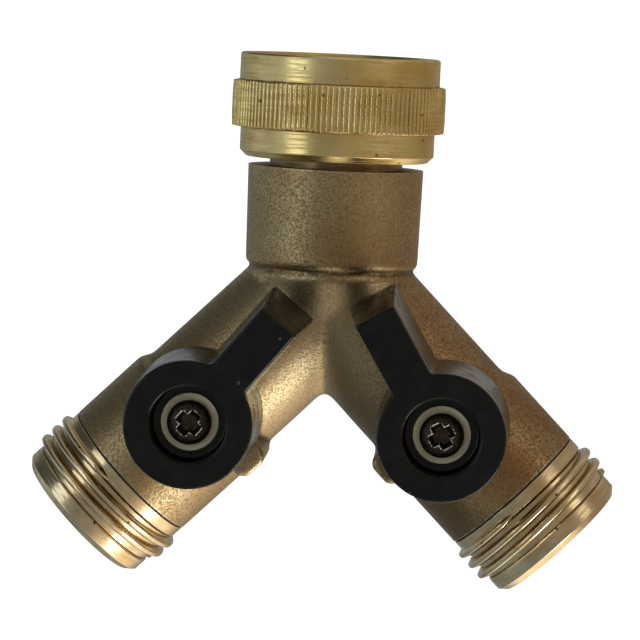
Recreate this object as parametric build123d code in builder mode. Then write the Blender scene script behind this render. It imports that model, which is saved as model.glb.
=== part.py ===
from build123d import *
from math import atan2, cos, degrees, radians, sin
import os

# A garden hose splitter. A swivel nut screws onto a tap and hangs a forked brass casting, and each
# leg of the fork is a quarter-turn ball valve that ends in a male hose thread.
#
# All sizes are millimetres. The origin is the middle of the inlet washer's sealing face. +Z points
# up, out of the inlet, the levers face -Y, and +X is to the right of someone who faces the levers.
# "t" is a distance along a leg from the branch point, and "h" a height towards the levers.

# ---- Driving dimensions --------------------------------------------------------------------
BRANCH_DEPTH = 27.9  # from the sealing face down to where the three passages meet
LEG_SPLAY = 45  # degrees between each leg and the vertical
FIT = 0.05  # radial clearance of every round running fit
PLAY = 0.1  # end play where one piece turns against another
OVERCUT = 1.0  # how far a cutter reaches past the face it opens

# swivel nut, heights from the sealing face
NUT_BOTTOM = -7.0
NUT_TOP = 9.5
KNURL_BOTTOM = -2.3
KNURL_TOP = 5.1
NUT_LOW_R = 15.5
NUT_KNURL_R = 17.05
NUT_HIGH_R = 15.95
NUT_THREAD_R = 12.45  # inside radius of the 3/4-11.5 garden hose thread
NUT_RELIEF_R = 12.9  # groove below the thread, where the washer lies
NUT_REAR_WALL = 2.2
NUT_REAR_CHAMFER = 1.0
NUT_EDGE_CHAMFER = 0.5

# washer and tailpiece
WASHER_THICK = 3.2
WASHER_R = 12.7
WASHER_BORE_R = 7.95
TAIL_FLANGE_R = 12.1
TAIL_R = 10.6
TAIL_BORE_R = 8.0
TAIL_DEPTH = 10.0  # how far the tailpiece screws into the neck
TAIL_CLEARANCE = 0.3  # radial room between the tailpiece and the nut's rear hole

# neck and fork of the casting
NECK_TOP = -8.3
NECK_TOP_R = 14.0
NECK_FOOT_R = 13.75
NECK_SHOULDER_ABOVE_BRANCH = 4.0
CORE_R = 13.35
CORE_END_R = 10.4
CORE_END_BELOW_BRANCH = 6.5
CORE_STRAIGHT = 1.0
NECK_EDGE_CHAMFER = 0.5
CROTCH_FILLET = 3.5

# legs, distances along the leg from the branch point
LEG_R = 11.55
LEG_BORE_R = 7.0
BARREL_R = 12.5
BARREL_CONE_START = 28.2
BARREL_START = 30.0
LEG_END = 43.3
CHAMBER_R = 9.2
SOCKET_R = 10.4

# ball valve, centred on the leg
VALVE_T = 27.5
BALL_R = 8.75
BALL_BORE_R = 5.6
SEAT_HALF_SPAN = 8.5  # from the valve's centre to the back of each seat
SEAT_FACE = 4.0  # from the valve's centre to the near face of each seat
SEAT_BORE_R = 6.2
SLOT_WIDTH = 3.2
SLOT_FLOOR_H = 7.1

# stem and its boss, heights above the legs' middle plane
BOSS_R = 6.8
BOSS_TOP_H = 17.0
POCKET_R = 5.7
POCKET_TOP_H = 11.2
FLANGE_R = 5.4
FLANGE_BOTTOM_H = 9.2
FLANGE_TOP_H = 10.6
STEM_R = 4.0
STEM_TOP_H = 24.35
TONGUE_THICK = 3.0
TONGUE_LENGTH = 7.0
TONGUE_BOTTOM_H = 7.2
DRIVE_SQUARE = 5.6
RING_GROOVES_H = (12.4, 14.8)  # lower edge of each O-ring groove
GROOVE_WIDTH = 1.7
GROOVE_ROOT_R = 2.85
RING_WIRE_R = 0.55

# lever
HUB_BASE_H = 13.4
HUB_FACE_H = 31.4
HUB_BASE_R = 10.5
HUB_FACE_R = 9.95
RECESS_R = 7.1
RECESS_TOP_H = 17.3
WELL_R = 5.95
WELL_FLOOR_H = 25.8
ARM_UNDERSIDE_H = 14.3
ARM_LENGTH = 23.5
ARM_TOP_LENGTH = 21.2
ARM_TOP_WIDTH = 6.7
ARM_BASE_WIDTH = 8.3
SOCKET_TOP_H = 24.4
OPEN_STOP = 4.0  # degrees between the lever's open stop and the leg's axis
CLOSED_STOP = 90.0
REST_TURN = {"left": 6.2, "right": 13.6}  # degrees from the leg's axis, towards closed

# stop lug on the casting and the notch it runs in
LUG_IN = 8.3
LUG_OUT = 12.8
LUG_WIDTH = 5.6
LUG_TOP_H = 14.6
LUG_SHIFT = 0.9  # towards the branch point from the stem's axis
LUG_CHAMFER = 1.0
NOTCH_IN_R = 8.0
NOTCH_TOP_H = 15.0
NOTCH_MARGIN = 2.5  # degrees left beyond each stop

# lever washer and screw
CLAMP_WASHER_R = 4.5
CLAMP_WASHER_THICK = 0.8
SCREW_R = 1.97
SCREW_HOLE_R = 2.0
SCREW_CLEAR_R = 2.2
SCREW_TIP_H = 15.6
SCREW_HOLE_END_H = 14.9
HEAD_R = 3.45
HEAD_RIM = 1.0
HEAD_HEIGHT = 2.4
HEAD_DOME = (2.0, 1.05)  # a point on the dome: radius, and height above the rim
PHILLIPS_SPAN = 4.4
PHILLIPS_WING = 1.05
PHILLIPS_DEPTH = 1.7

# male outlet ends
OUTLET_SEAL_THICK = 0.3
OUTLET_SEAL_R = 12.2
SHANK_R = 10.35
OUTLET_BORE_R = 7.0
OUTLET_MOUTH_R = 8.2
OUTLET_BAND_R = 12.45
OUTLET_THREAD_START = 45.6
OUTLET_THREAD_END = 51.2
OUTLET_THREAD_R = 13.45
OUTLET_PILOT_R = 12.35
OUTLET_END = 54.7
OUTLET_CHAMFER = 1.0

# ---- Places and directions worked out from them --------------------------------------------
SIDES = {"left": -1, "right": 1}
BRANCH = Vector(0, 0, -BRANCH_DEPTH)
LEVERS_FACE = Vector(0, -1, 0)
TAIL_END = NECK_TOP - TAIL_DEPTH
SHOULDER = NUT_BOTTOM + NUT_REAR_WALL


def leg_direction(side):
    """The way that a leg points, from the branch point to its outlet."""
    return Vector(SIDES[side] * sin(radians(LEG_SPLAY)), 0, -cos(radians(LEG_SPLAY)))


def leg_axis(side):
    """The centre line of a leg."""
    return Axis(BRANCH, leg_direction(side))


def leg_section(side):
    """The plane of a leg's turned profiles: X runs along the leg, Y is the radius."""
    along = leg_direction(side)
    return Plane(origin=BRANCH, x_dir=along, z_dir=along.cross(LEVERS_FACE))


def valve_centre(side):
    """Where a stem's axis crosses its leg's axis."""
    return BRANCH + leg_direction(side) * VALVE_T


def arm_direction(side):
    """The way a lever's arm points at rest: back along the leg, turned towards closed."""
    turn = SIDES[side] * REST_TURN[side]
    return (leg_direction(side) * -1).rotate(Axis.Y, turn)


def lever_plane(side, height=0.0):
    """A plane across a stem's axis, height above the legs, with X along the lever's arm."""
    plane = Plane(origin=valve_centre(side), x_dir=arm_direction(side), z_dir=LEVERS_FACE)
    return plane.offset(height)


def leg_plane(side, height=0.0):
    """A plane across a stem's axis, height above the legs, with X along the leg."""
    plane = Plane(origin=valve_centre(side), x_dir=leg_direction(side), z_dir=LEVERS_FACE)
    return plane.offset(height)


def outline(plane, points):
    """A closed straight-sided profile on a plane."""
    with BuildSketch(plane) as profile:
        with BuildLine():
            Polyline(*points, close=True)
        make_face()
    return profile.sketch


def inlet_profile(points):
    """A profile of (radius, height) points to turn about the inlet's axis."""
    return outline(Plane.XZ, points)


def leg_profile(side, points):
    """A profile of (distance, radius) points to turn about a leg's axis."""
    return outline(leg_section(side), points)


def ring_profile(side, start, end, inner, outer):
    """The section of a plain ring on a leg's axis."""
    return leg_profile(side, [(start, inner), (end, inner), (end, outer), (start, outer)])


# ---- Inlet ---------------------------------------------------------------------------------
def make_swivel_nut():
    """The turned nut, with a plain band where the knurl is and a plain bore for its thread."""
    with BuildPart() as swivel_nut:
        revolve(
            inlet_profile([
                (TAIL_R + TAIL_CLEARANCE, NUT_BOTTOM),
                (NUT_LOW_R - NUT_REAR_CHAMFER, NUT_BOTTOM),
                (NUT_LOW_R, NUT_BOTTOM + NUT_REAR_CHAMFER),
                (NUT_LOW_R, KNURL_BOTTOM),
                (NUT_KNURL_R - NUT_EDGE_CHAMFER, KNURL_BOTTOM),
                (NUT_KNURL_R, KNURL_BOTTOM + NUT_EDGE_CHAMFER),
                (NUT_KNURL_R, KNURL_TOP - NUT_EDGE_CHAMFER),
                (NUT_KNURL_R - NUT_EDGE_CHAMFER, KNURL_TOP),
                (NUT_HIGH_R, KNURL_TOP),
                (NUT_HIGH_R, NUT_TOP - NUT_EDGE_CHAMFER),
                (NUT_HIGH_R - NUT_EDGE_CHAMFER, NUT_TOP),
                (NUT_THREAD_R + NUT_REAR_CHAMFER, NUT_TOP),
                (NUT_THREAD_R, NUT_TOP - NUT_REAR_CHAMFER),
                (NUT_THREAD_R, 0),
                (NUT_RELIEF_R, 0),
                (NUT_RELIEF_R, SHOULDER),
                (TAIL_R + TAIL_CLEARANCE, SHOULDER),
            ]),
            axis=Axis.Z,
        )
    return swivel_nut.part


def make_inlet_washer():
    """The rubber hose washer, which the tap's rim presses on."""
    with BuildPart() as inlet_washer:
        with BuildSketch(Plane.XY.offset(-WASHER_THICK)):
            Circle(WASHER_R)
            Circle(WASHER_BORE_R, mode=Mode.SUBTRACT)
        extrude(amount=WASHER_THICK)
    return inlet_washer.part


def make_inlet_tailpiece():
    """The flanged nipple that screws into the neck and keeps the nut on."""
    with BuildPart() as inlet_tailpiece:
        with BuildSketch(Plane.XY.offset(TAIL_END)):
            Circle(TAIL_R)
        extrude(amount=SHOULDER + PLAY - TAIL_END)
        with BuildSketch(Plane.XY.offset(SHOULDER + PLAY)):
            Circle(TAIL_FLANGE_R)
        extrude(amount=-WASHER_THICK - FIT - SHOULDER - PLAY)
        with BuildSketch(Plane.XY.offset(TAIL_END)):
            Circle(TAIL_BORE_R)
        extrude(amount=-TAIL_END, mode=Mode.SUBTRACT)
    return inlet_tailpiece.part


# ---- Casting -------------------------------------------------------------------------------
def leg_outside(side):
    """A leg's turned outside, which steps out to the thicker barrel over the valve."""
    return leg_profile(side, [
        (0, 0),
        (0, LEG_R),
        (BARREL_CONE_START, LEG_R),
        (BARREL_START, BARREL_R),
        (LEG_END, BARREL_R),
        (LEG_END, 0),
    ])


def leg_inside(side):
    """A leg's bored inside: passage, ball chamber and the socket for the outlet end."""
    chamber_start = VALVE_T - SEAT_HALF_SPAN
    chamber_end = VALVE_T + SEAT_HALF_SPAN - FIT
    return leg_profile(side, [
        (0, 0),
        (0, LEG_BORE_R),
        (chamber_start, LEG_BORE_R),
        (chamber_start, CHAMBER_R),
        (chamber_end, CHAMBER_R),
        (chamber_end, SOCKET_R),
        (LEG_END, SOCKET_R),
        (LEG_END, 0),
    ])


def neck_outside():
    """The neck with its slight casting draft, its shoulder and the core between the legs."""
    shoulder = NECK_SHOULDER_ABOVE_BRANCH - BRANCH_DEPTH
    core_end = -BRANCH_DEPTH - CORE_END_BELOW_BRANCH
    return inlet_profile([
        (0, NECK_TOP),
        (NECK_TOP_R - NECK_EDGE_CHAMFER, NECK_TOP),
        (NECK_TOP_R, NECK_TOP - NECK_EDGE_CHAMFER),
        (NECK_FOOT_R, shoulder),
        (CORE_R, shoulder - (NECK_FOOT_R - CORE_R)),
        (CORE_R, shoulder - CORE_STRAIGHT),
        (CORE_END_R, core_end),
        (0, core_end),
    ])


def make_body_casting():
    """The forked casting: neck, two legs, stem bosses and stop lugs, bored through."""
    with BuildPart() as body_casting:
        for side in SIDES:
            revolve(leg_outside(side), axis=leg_axis(side))
        creases = body_casting.edges().filter_by_position(Axis.X, -FIT, FIT)
        fillet(creases.sort_by(Axis.Z)[0], CROTCH_FILLET)
        revolve(neck_outside(), axis=Axis.Z)
        for side in SIDES:
            with BuildSketch(leg_plane(side)):
                Circle(BOSS_R)
            extrude(amount=BOSS_TOP_H)
            with BuildSketch(leg_plane(side)):
                with Locations((-LUG_SHIFT, -SIDES[side] * (LUG_IN + LUG_OUT) / 2)):
                    Rectangle(LUG_WIDTH, LUG_OUT - LUG_IN)
                outer = vertices().group_by(SortBy.DISTANCE)[-1]
                chamfer(outer, LUG_CHAMFER)
            extrude(amount=LUG_TOP_H)
        for side in SIDES:
            revolve(leg_inside(side), axis=leg_axis(side), mode=Mode.SUBTRACT)
            with BuildSketch(leg_plane(side)):
                Circle(POCKET_R)
            extrude(amount=POCKET_TOP_H, mode=Mode.SUBTRACT)
            with BuildSketch(leg_plane(side)):
                Circle(STEM_R + FIT)
            extrude(amount=BOSS_TOP_H, mode=Mode.SUBTRACT)
        with BuildSketch(Plane.XY.offset(-BRANCH_DEPTH)):
            Circle(TAIL_BORE_R)
        extrude(amount=BRANCH_DEPTH + NECK_TOP, mode=Mode.SUBTRACT)
        with BuildSketch(Plane.XY.offset(TAIL_END - FIT)):
            Circle(TAIL_R + FIT)
        extrude(amount=TAIL_DEPTH + FIT, mode=Mode.SUBTRACT)
    return body_casting.part


# ---- Outlets -------------------------------------------------------------------------------
def make_outlet_end(side):
    """The turned male end that screws into a leg; its thread is a plain band at the crests."""
    nose = VALVE_T + SEAT_HALF_SPAN
    band = LEG_END + OUTLET_SEAL_THICK
    mouth_depth = OUTLET_MOUTH_R - OUTLET_BORE_R
    with BuildPart() as outlet_end:
        revolve(
            leg_profile(side, [
                (nose, OUTLET_BORE_R),
                (nose, SHANK_R),
                (band, SHANK_R),
                (band, OUTLET_BAND_R),
                (OUTLET_THREAD_START, OUTLET_BAND_R),
                (OUTLET_THREAD_START, OUTLET_THREAD_R),
                (OUTLET_THREAD_END, OUTLET_THREAD_R),
                (OUTLET_THREAD_END, OUTLET_PILOT_R),
                (OUTLET_END - OUTLET_CHAMFER, OUTLET_PILOT_R),
                (OUTLET_END, OUTLET_PILOT_R - OUTLET_CHAMFER),
                (OUTLET_END, OUTLET_MOUTH_R),
                (OUTLET_END - mouth_depth, OUTLET_BORE_R),
            ]),
            axis=leg_axis(side),
        )
    return outlet_end.part


def make_outlet_seal(side):
    """The thin black seal ring between the casting and an outlet end."""
    with BuildPart() as outlet_seal:
        revolve(
            ring_profile(side, LEG_END, LEG_END + OUTLET_SEAL_THICK, SOCKET_R, OUTLET_SEAL_R),
            axis=leg_axis(side),
        )
    return outlet_seal.part


# ---- Valves --------------------------------------------------------------------------------
def make_seat(side, way):
    """A seat ring that the ball turns against. way is -1 before the ball and 1 after it."""
    back = VALVE_T + way * SEAT_HALF_SPAN
    face = VALVE_T + way * SEAT_FACE
    with BuildPart() as seat:
        revolve(
            ring_profile(side, min(back, face), max(back, face), SEAT_BORE_R, CHAMBER_R - FIT),
            axis=leg_axis(side),
        )
        with Locations(valve_centre(side)):
            Sphere(BALL_R + FIT, mode=Mode.SUBTRACT)
    return seat.part


def make_ball(side):
    """The bored ball, with a slot across its top for the stem's tongue."""
    bore_plane = Plane(origin=valve_centre(side), z_dir=arm_direction(side))
    with BuildPart() as ball:
        with Locations(valve_centre(side)):
            Sphere(BALL_R)
        with BuildSketch(bore_plane):
            Circle(BALL_BORE_R)
        extrude(amount=BALL_R, both=True, mode=Mode.SUBTRACT)
        with BuildSketch(lever_plane(side, SLOT_FLOOR_H)):
            Rectangle(SLOT_WIDTH, 2 * BALL_R)
        extrude(amount=BALL_R - SLOT_FLOOR_H, mode=Mode.SUBTRACT)
    return ball.part


def make_stem(side):
    """The stem: tongue, retaining flange, two O-ring grooves, square drive and tapped hole."""
    with BuildPart() as stem:
        with BuildSketch(lever_plane(side, TONGUE_BOTTOM_H)):
            Rectangle(TONGUE_THICK, TONGUE_LENGTH)
        extrude(amount=FLANGE_BOTTOM_H - TONGUE_BOTTOM_H)
        with BuildSketch(lever_plane(side, FLANGE_BOTTOM_H)):
            Circle(FLANGE_R)
        extrude(amount=FLANGE_TOP_H - FLANGE_BOTTOM_H)
        with BuildSketch(lever_plane(side, FLANGE_TOP_H)):
            Circle(STEM_R)
        extrude(amount=BOSS_TOP_H + PLAY - FLANGE_TOP_H)
        for groove in RING_GROOVES_H:
            with BuildSketch(lever_plane(side, groove)):
                Circle(STEM_R + FIT)
                Circle(GROOVE_ROOT_R, mode=Mode.SUBTRACT)
            extrude(amount=GROOVE_WIDTH, mode=Mode.SUBTRACT)
        with BuildSketch(lever_plane(side, BOSS_TOP_H)):
            Rectangle(DRIVE_SQUARE, DRIVE_SQUARE)
        extrude(amount=STEM_TOP_H - BOSS_TOP_H)
        with BuildSketch(lever_plane(side, SCREW_HOLE_END_H)):
            Circle(SCREW_HOLE_R)
        extrude(amount=STEM_TOP_H - SCREW_HOLE_END_H, mode=Mode.SUBTRACT)
    return stem.part


def make_stem_o_rings(side):
    """The two O-rings that seal a stem in its boss."""
    wire_r = RING_WIRE_R
    with BuildPart() as stem_o_rings:
        for groove in RING_GROOVES_H:
            with Locations(lever_plane(side, groove + GROOVE_WIDTH / 2)):
                Torus(STEM_R - wire_r, wire_r)
    return stem_o_rings.part


def make_thrust_washer(side):
    """The slip ring between a stem's flange and the casting."""
    with BuildPart() as thrust_washer:
        with BuildSketch(leg_plane(side, FLANGE_TOP_H + FIT)):
            Circle(FLANGE_R)
            Circle(STEM_R + 2 * FIT, mode=Mode.SUBTRACT)
        extrude(amount=POCKET_TOP_H - FLANGE_TOP_H - FIT)
    return thrust_washer.part


# ---- Levers --------------------------------------------------------------------------------
def stem_section(side):
    """The plane through a stem's axis along the lever's arm: X along the arm, Y is h."""
    along = arm_direction(side)
    return Plane(origin=valve_centre(side), x_dir=along, z_dir=along.cross(LEVERS_FACE))


def notch_arc(side):
    """Start and sweep of the skirt's notch, in degrees from the arm about the stem's axis.

    Seen from the levers' side, the left lever closes anticlockwise and the right one clockwise.
    """
    lug_near = degrees(atan2(LUG_IN, LUG_SHIFT + LUG_WIDTH / 2))
    lug_far = degrees(atan2(LUG_IN, LUG_SHIFT - LUG_WIDTH / 2))
    start = lug_near + OPEN_STOP - NOTCH_MARGIN
    end = lug_far + CLOSED_STOP + NOTCH_MARGIN
    return SIDES[side] * start, SIDES[side] * (end - start)


def make_lever(side):
    """The moulded lever: a round hub over the stem's boss, and an arm with drafted sides."""
    with BuildPart() as lever:
        with BuildSketch(lever_plane(side, HUB_BASE_H)):
            Circle(HUB_BASE_R)
        with BuildSketch(lever_plane(side, HUB_FACE_H)):
            Circle(HUB_FACE_R)
        loft()
        with BuildSketch(lever_plane(side, ARM_UNDERSIDE_H)):
            with Locations((ARM_LENGTH / 2, 0)):
                Rectangle(ARM_LENGTH, ARM_BASE_WIDTH)
        with BuildSketch(lever_plane(side, HUB_FACE_H)):
            with Locations((ARM_TOP_LENGTH / 2, 0)):
                Rectangle(ARM_TOP_LENGTH, ARM_TOP_WIDTH)
        loft()
        with BuildSketch(lever_plane(side, WELL_FLOOR_H)):
            Circle(WELL_R)
        extrude(amount=HUB_FACE_H - WELL_FLOOR_H, mode=Mode.SUBTRACT)
        with BuildSketch(lever_plane(side, HUB_BASE_H)):
            Circle(RECESS_R)
        extrude(amount=RECESS_TOP_H - HUB_BASE_H, mode=Mode.SUBTRACT)
        with BuildSketch(lever_plane(side, RECESS_TOP_H)):
            Rectangle(DRIVE_SQUARE + 2 * FIT, DRIVE_SQUARE + 2 * FIT)
        extrude(amount=SOCKET_TOP_H - RECESS_TOP_H, mode=Mode.SUBTRACT)
        with BuildSketch(lever_plane(side, SOCKET_TOP_H)):
            Circle(SCREW_CLEAR_R)
        extrude(amount=WELL_FLOOR_H - SOCKET_TOP_H, mode=Mode.SUBTRACT)
        start, sweep = notch_arc(side)
        with BuildSketch(lever_plane(side, HUB_BASE_H)):
            with BuildLine():
                inner = CenterArc((0, 0), NOTCH_IN_R, start, sweep)
                outer = CenterArc((0, 0), HUB_BASE_R + OVERCUT, start, sweep)
                Line(inner @ 0, outer @ 0)
                Line(inner @ 1, outer @ 1)
            make_face()
        extrude(amount=NOTCH_TOP_H - HUB_BASE_H, mode=Mode.SUBTRACT)
    return lever.part


def make_lever_washer(side):
    """The plain washer at the bottom of the hub's well."""
    with BuildPart() as lever_washer:
        with BuildSketch(lever_plane(side, WELL_FLOOR_H)):
            Circle(CLAMP_WASHER_R)
            Circle(SCREW_CLEAR_R, mode=Mode.SUBTRACT)
        extrude(amount=CLAMP_WASHER_THICK)
    return lever_washer.part


def make_lever_screw(side):
    """The cross-recessed pan-head screw that clamps a lever to its stem."""
    seat_h = WELL_FLOOR_H + CLAMP_WASHER_THICK
    rim_h = seat_h + HEAD_RIM
    top_h = seat_h + HEAD_HEIGHT
    with BuildPart() as lever_screw:
        with BuildSketch(stem_section(side)):
            with BuildLine():
                Polyline(
                    (0, top_h),
                    (0, SCREW_TIP_H),
                    (SCREW_R, SCREW_TIP_H),
                    (SCREW_R, seat_h),
                    (HEAD_R, seat_h),
                    (HEAD_R, rim_h),
                )
                ThreePointArc((HEAD_R, rim_h), (HEAD_DOME[0], rim_h + HEAD_DOME[1]), (0, top_h))
            make_face()
        revolve(axis=Axis(valve_centre(side), LEVERS_FACE))
        with BuildSketch(lever_plane(side, top_h + PLAY)):
            Rectangle(PHILLIPS_SPAN, PHILLIPS_WING)
            Rectangle(PHILLIPS_WING, PHILLIPS_SPAN)
        extrude(amount=-PHILLIPS_DEPTH - PLAY, mode=Mode.SUBTRACT)
    return lever_screw.part


# ---- The whole splitter --------------------------------------------------------------------
def make_valve_pieces(side):
    """Every separate piece of one leg, by its name without the side."""
    return {
        "outlet_end": make_outlet_end(side),
        "outlet_seal": make_outlet_seal(side),
        "inner_seat": make_seat(side, -1),
        "outer_seat": make_seat(side, 1),
        "ball": make_ball(side),
        "stem": make_stem(side),
        "stem_o_rings": make_stem_o_rings(side),
        "thrust_washer": make_thrust_washer(side),
        "lever": make_lever(side),
        "lever_washer": make_lever_washer(side),
        "lever_screw": make_lever_screw(side),
    }


pieces = {
    "body_casting": make_body_casting(),
    "inlet_tailpiece": make_inlet_tailpiece(),
    "swivel_nut": make_swivel_nut(),
    "inlet_washer": make_inlet_washer(),
}
for side_name in SIDES:
    for piece_name, piece in make_valve_pieces(side_name).items():
        pieces[f"{side_name}_{piece_name}"] = piece

os.makedirs("parts", exist_ok=True)
for piece_name, piece in pieces.items():
    piece.label = piece_name
    export_step(piece, f"parts/{piece_name}.step")
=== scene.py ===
"""A garden hose splitter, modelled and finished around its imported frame.

A swivel nut carries a forked brass casting. Each leg of the fork is a quarter-turn valve with a
black lever, and ends in a male hose thread.

Sizes in the pieces' classes are millimetres and meshes are metres. The origin is the middle of
the inlet washer's sealing face, +Z points up out of the inlet, the levers face -Y, and +X is to
the right of someone who faces the levers.
"""

import logging
from collections.abc import Sequence
from dataclasses import dataclass, field
from enum import Enum
from math import cos, pi, radians, sin, tan

import bmesh
import bpy
import numpy as np
from mathutils import Matrix, Vector


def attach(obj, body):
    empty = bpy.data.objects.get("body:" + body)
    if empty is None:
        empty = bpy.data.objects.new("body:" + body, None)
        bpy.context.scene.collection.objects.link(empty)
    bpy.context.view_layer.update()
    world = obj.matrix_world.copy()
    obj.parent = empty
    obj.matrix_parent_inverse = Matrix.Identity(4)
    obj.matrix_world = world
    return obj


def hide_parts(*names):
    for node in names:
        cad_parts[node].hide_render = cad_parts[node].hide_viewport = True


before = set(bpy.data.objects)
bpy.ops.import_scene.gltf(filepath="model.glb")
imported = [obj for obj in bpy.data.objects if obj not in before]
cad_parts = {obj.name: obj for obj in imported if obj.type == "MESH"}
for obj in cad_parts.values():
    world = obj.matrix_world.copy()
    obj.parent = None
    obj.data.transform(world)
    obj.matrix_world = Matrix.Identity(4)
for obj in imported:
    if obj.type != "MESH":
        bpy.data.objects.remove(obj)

MM = 0.001
LOG = logging.getLogger("hose_splitter")
LEVERS_FACE = Vector((0.0, -1.0, 0.0))
MERGE_DISTANCE = 1e-4
SHARP_ANGLE = radians(38)
Colour = tuple[float, float, float]
Socket = bpy.types.NodeSocket


class Side(Enum):
    """A leg of the fork, as seen by someone who faces the levers."""

    LEFT = -1
    RIGHT = 1

    @property
    def label(self) -> str:
        """The side's word in node and piece names."""
        return self.name.lower()

    @property
    def valve_body(self) -> str:
        """The CAD body that turns with this side's lever."""
        return f"{self.label}_valve"


def placed(origin: Vector, x_axis: Vector, z_axis: Vector) -> Matrix:
    """Make the matrix that puts a piece's own frame where it belongs.

    Args:
        origin: Where the frame's origin goes, in millimetres.
        x_axis: The direction of its X axis, a unit vector.
        z_axis: The direction of its Z axis, a unit vector across x_axis.

    Returns:
        A matrix from the piece's own millimetres to the splitter's.
    """
    y_axis = z_axis.cross(x_axis)
    turn = Matrix((x_axis, y_axis, z_axis)).transposed().to_4x4()
    return Matrix.Translation(origin) @ turn


@dataclass(frozen=True)
class ForkLayout:
    """Where the legs, the stems and the levers lie."""

    branch_depth: float = 27.9
    splay: float = 45.0
    valve_t: float = 27.5
    chamber_half: float = 8.5
    left_rest_turn: float = 6.2
    right_rest_turn: float = 13.6

    def leg_way(self, side: Side) -> Vector:
        """The way a leg points, from the branch point to its outlet."""
        splay = radians(self.splay)
        return Vector((side.value * sin(splay), 0.0, -cos(splay)))

    def branch(self) -> Vector:
        """The point where the three passages meet."""
        return Vector((0.0, 0.0, -self.branch_depth))

    def stem_point(self, side: Side) -> Vector:
        """Where a stem's axis crosses its leg's axis."""
        return self.branch() + self.leg_way(side) * self.valve_t

    def leg_place(self, side: Side) -> Matrix:
        """A frame on the branch point with Z along a leg and X towards the levers."""
        return placed(self.branch(), LEVERS_FACE, self.leg_way(side))

    def boss_place(self, side: Side) -> Matrix:
        """A frame on a stem's axis with Z towards the levers and X along the leg."""
        return placed(self.stem_point(side), self.leg_way(side), LEVERS_FACE)

    def lever_place(self, side: Side) -> Matrix:
        """A frame on a stem's axis with Z towards the levers and X along the lever's arm."""
        turn = self.left_rest_turn if side is Side.LEFT else self.right_rest_turn
        arm = Matrix.Rotation(side.value * radians(turn), 3, "Y") @ -self.leg_way(side)
        return placed(self.stem_point(side), arm, LEVERS_FACE)


LAYOUT = ForkLayout()
UPRIGHT = Matrix.Identity(4)


# ---- Meshes --------------------------------------------------------------------------------
@dataclass(frozen=True)
class Corner:
    """A corner of a turned profile: its radius, its height along the axis and its rounding."""

    radius: float
    along: float
    rounding: float = 0.0


def rounded_profile(corners: Sequence[Corner], steps: int = 4, hold: float = 0.1) -> np.ndarray:
    """Round the corners of a closed profile.

    Args:
        corners: The profile's corners in order.
        steps: How many spans each rounded corner gets.
        hold: How far beyond a rounding an extra point keeps the flat beside it flat.

    Returns:
        Rows of radius and height.
    """
    points: list[Vector] = []
    for index, corner in enumerate(corners):
        here = Vector((corner.radius, corner.along))
        before, after = corners[index - 1], corners[(index + 1) % len(corners)]
        back = Vector((before.radius, before.along)) - here
        ahead = Vector((after.radius, after.along)) - here
        if corner.rounding <= 0:
            points.append(here)
            continue
        half = back.angle(ahead) / 2
        reach = min(corner.rounding / tan(half), 0.45 * back.length, 0.45 * ahead.length)
        start, end = here + back.normalized() * reach, here + ahead.normalized() * reach
        if back.length > 2 * (reach + hold):
            points.append(start + back.normalized() * hold)
        for step in range(steps + 1):
            share = step / steps
            points.append(start.lerp(here, share).lerp(here.lerp(end, share), share))
        if ahead.length > 2 * (reach + hold):
            points.append(end + ahead.normalized() * hold)
    return np.array(points)


def new_object(name: str, mesh: bpy.types.Mesh) -> bpy.types.Object:
    """Put a mesh in the scene as an object at the origin."""
    obj = bpy.data.objects.new(name, mesh)
    bpy.context.scene.collection.objects.link(obj)
    return obj


def tidy_mesh(mesh: bpy.types.Mesh) -> None:
    """Merge a closed mesh's doubled vertices, turn its faces outwards and shade it smooth."""
    bm = bmesh.new()
    bm.from_mesh(mesh)
    bmesh.ops.remove_doubles(bm, verts=bm.verts, dist=MERGE_DISTANCE)
    bmesh.ops.dissolve_degenerate(bm, dist=MERGE_DISTANCE, edges=bm.edges)
    bmesh.ops.recalc_face_normals(bm, faces=bm.faces)
    bm.to_mesh(mesh)
    bm.free()
    mesh.shade_smooth()
    mesh.set_sharp_from_angle(angle=SHARP_ANGLE)


def mesh_object(
    name: str, points: np.ndarray, faces: Sequence[Sequence[int]], place: Matrix
) -> bpy.types.Object:
    """Make an object from points in a piece's own frame.

    Args:
        name: The object's name.
        points: Rows of x, y and z in millimetres.
        faces: Lists of point numbers.
        place: The matrix that puts the piece where it belongs.

    Returns:
        The new object, closed and shaded.
    """
    mesh = bpy.data.meshes.new(name)
    mesh.from_pydata(points.tolist(), [], faces)
    mesh.transform(place)
    tidy_mesh(mesh)
    return new_object(name, mesh)


def lathe(
    name: str, profile: np.ndarray, place: Matrix = UPRIGHT, segments: int = 192
) -> bpy.types.Object:
    """Turn a closed profile about the Z axis of a frame.

    Args:
        name: The object's name.
        profile: Rows of radius and height; radius 0 lies on the axis.
        place: The matrix that puts the turned piece where it belongs.
        segments: How many steps go round.

    Returns:
        The turned solid.
    """
    angles = np.linspace(0, 2 * pi, segments, endpoint=False)
    radii, heights = profile[:, 0], profile[:, 1]
    rings = np.stack(
        [
            np.outer(radii, np.cos(angles)), np.outer(radii, np.sin(angles)),
            np.repeat(heights[:, None], segments, axis=1),
        ],
        axis=-1,
    )
    faces = []
    count = len(profile)
    for row in range(count):
        following = (row + 1) % count
        if radii[row] <= 0 and radii[following] <= 0:
            continue
        for step in range(segments):
            ahead = (step + 1) % segments
            faces.append((
                row * segments + step, row * segments + ahead, following * segments + ahead,
                following * segments + step,
            ))
    return mesh_object(name, rings.reshape(-1, 3), faces, place)


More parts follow.
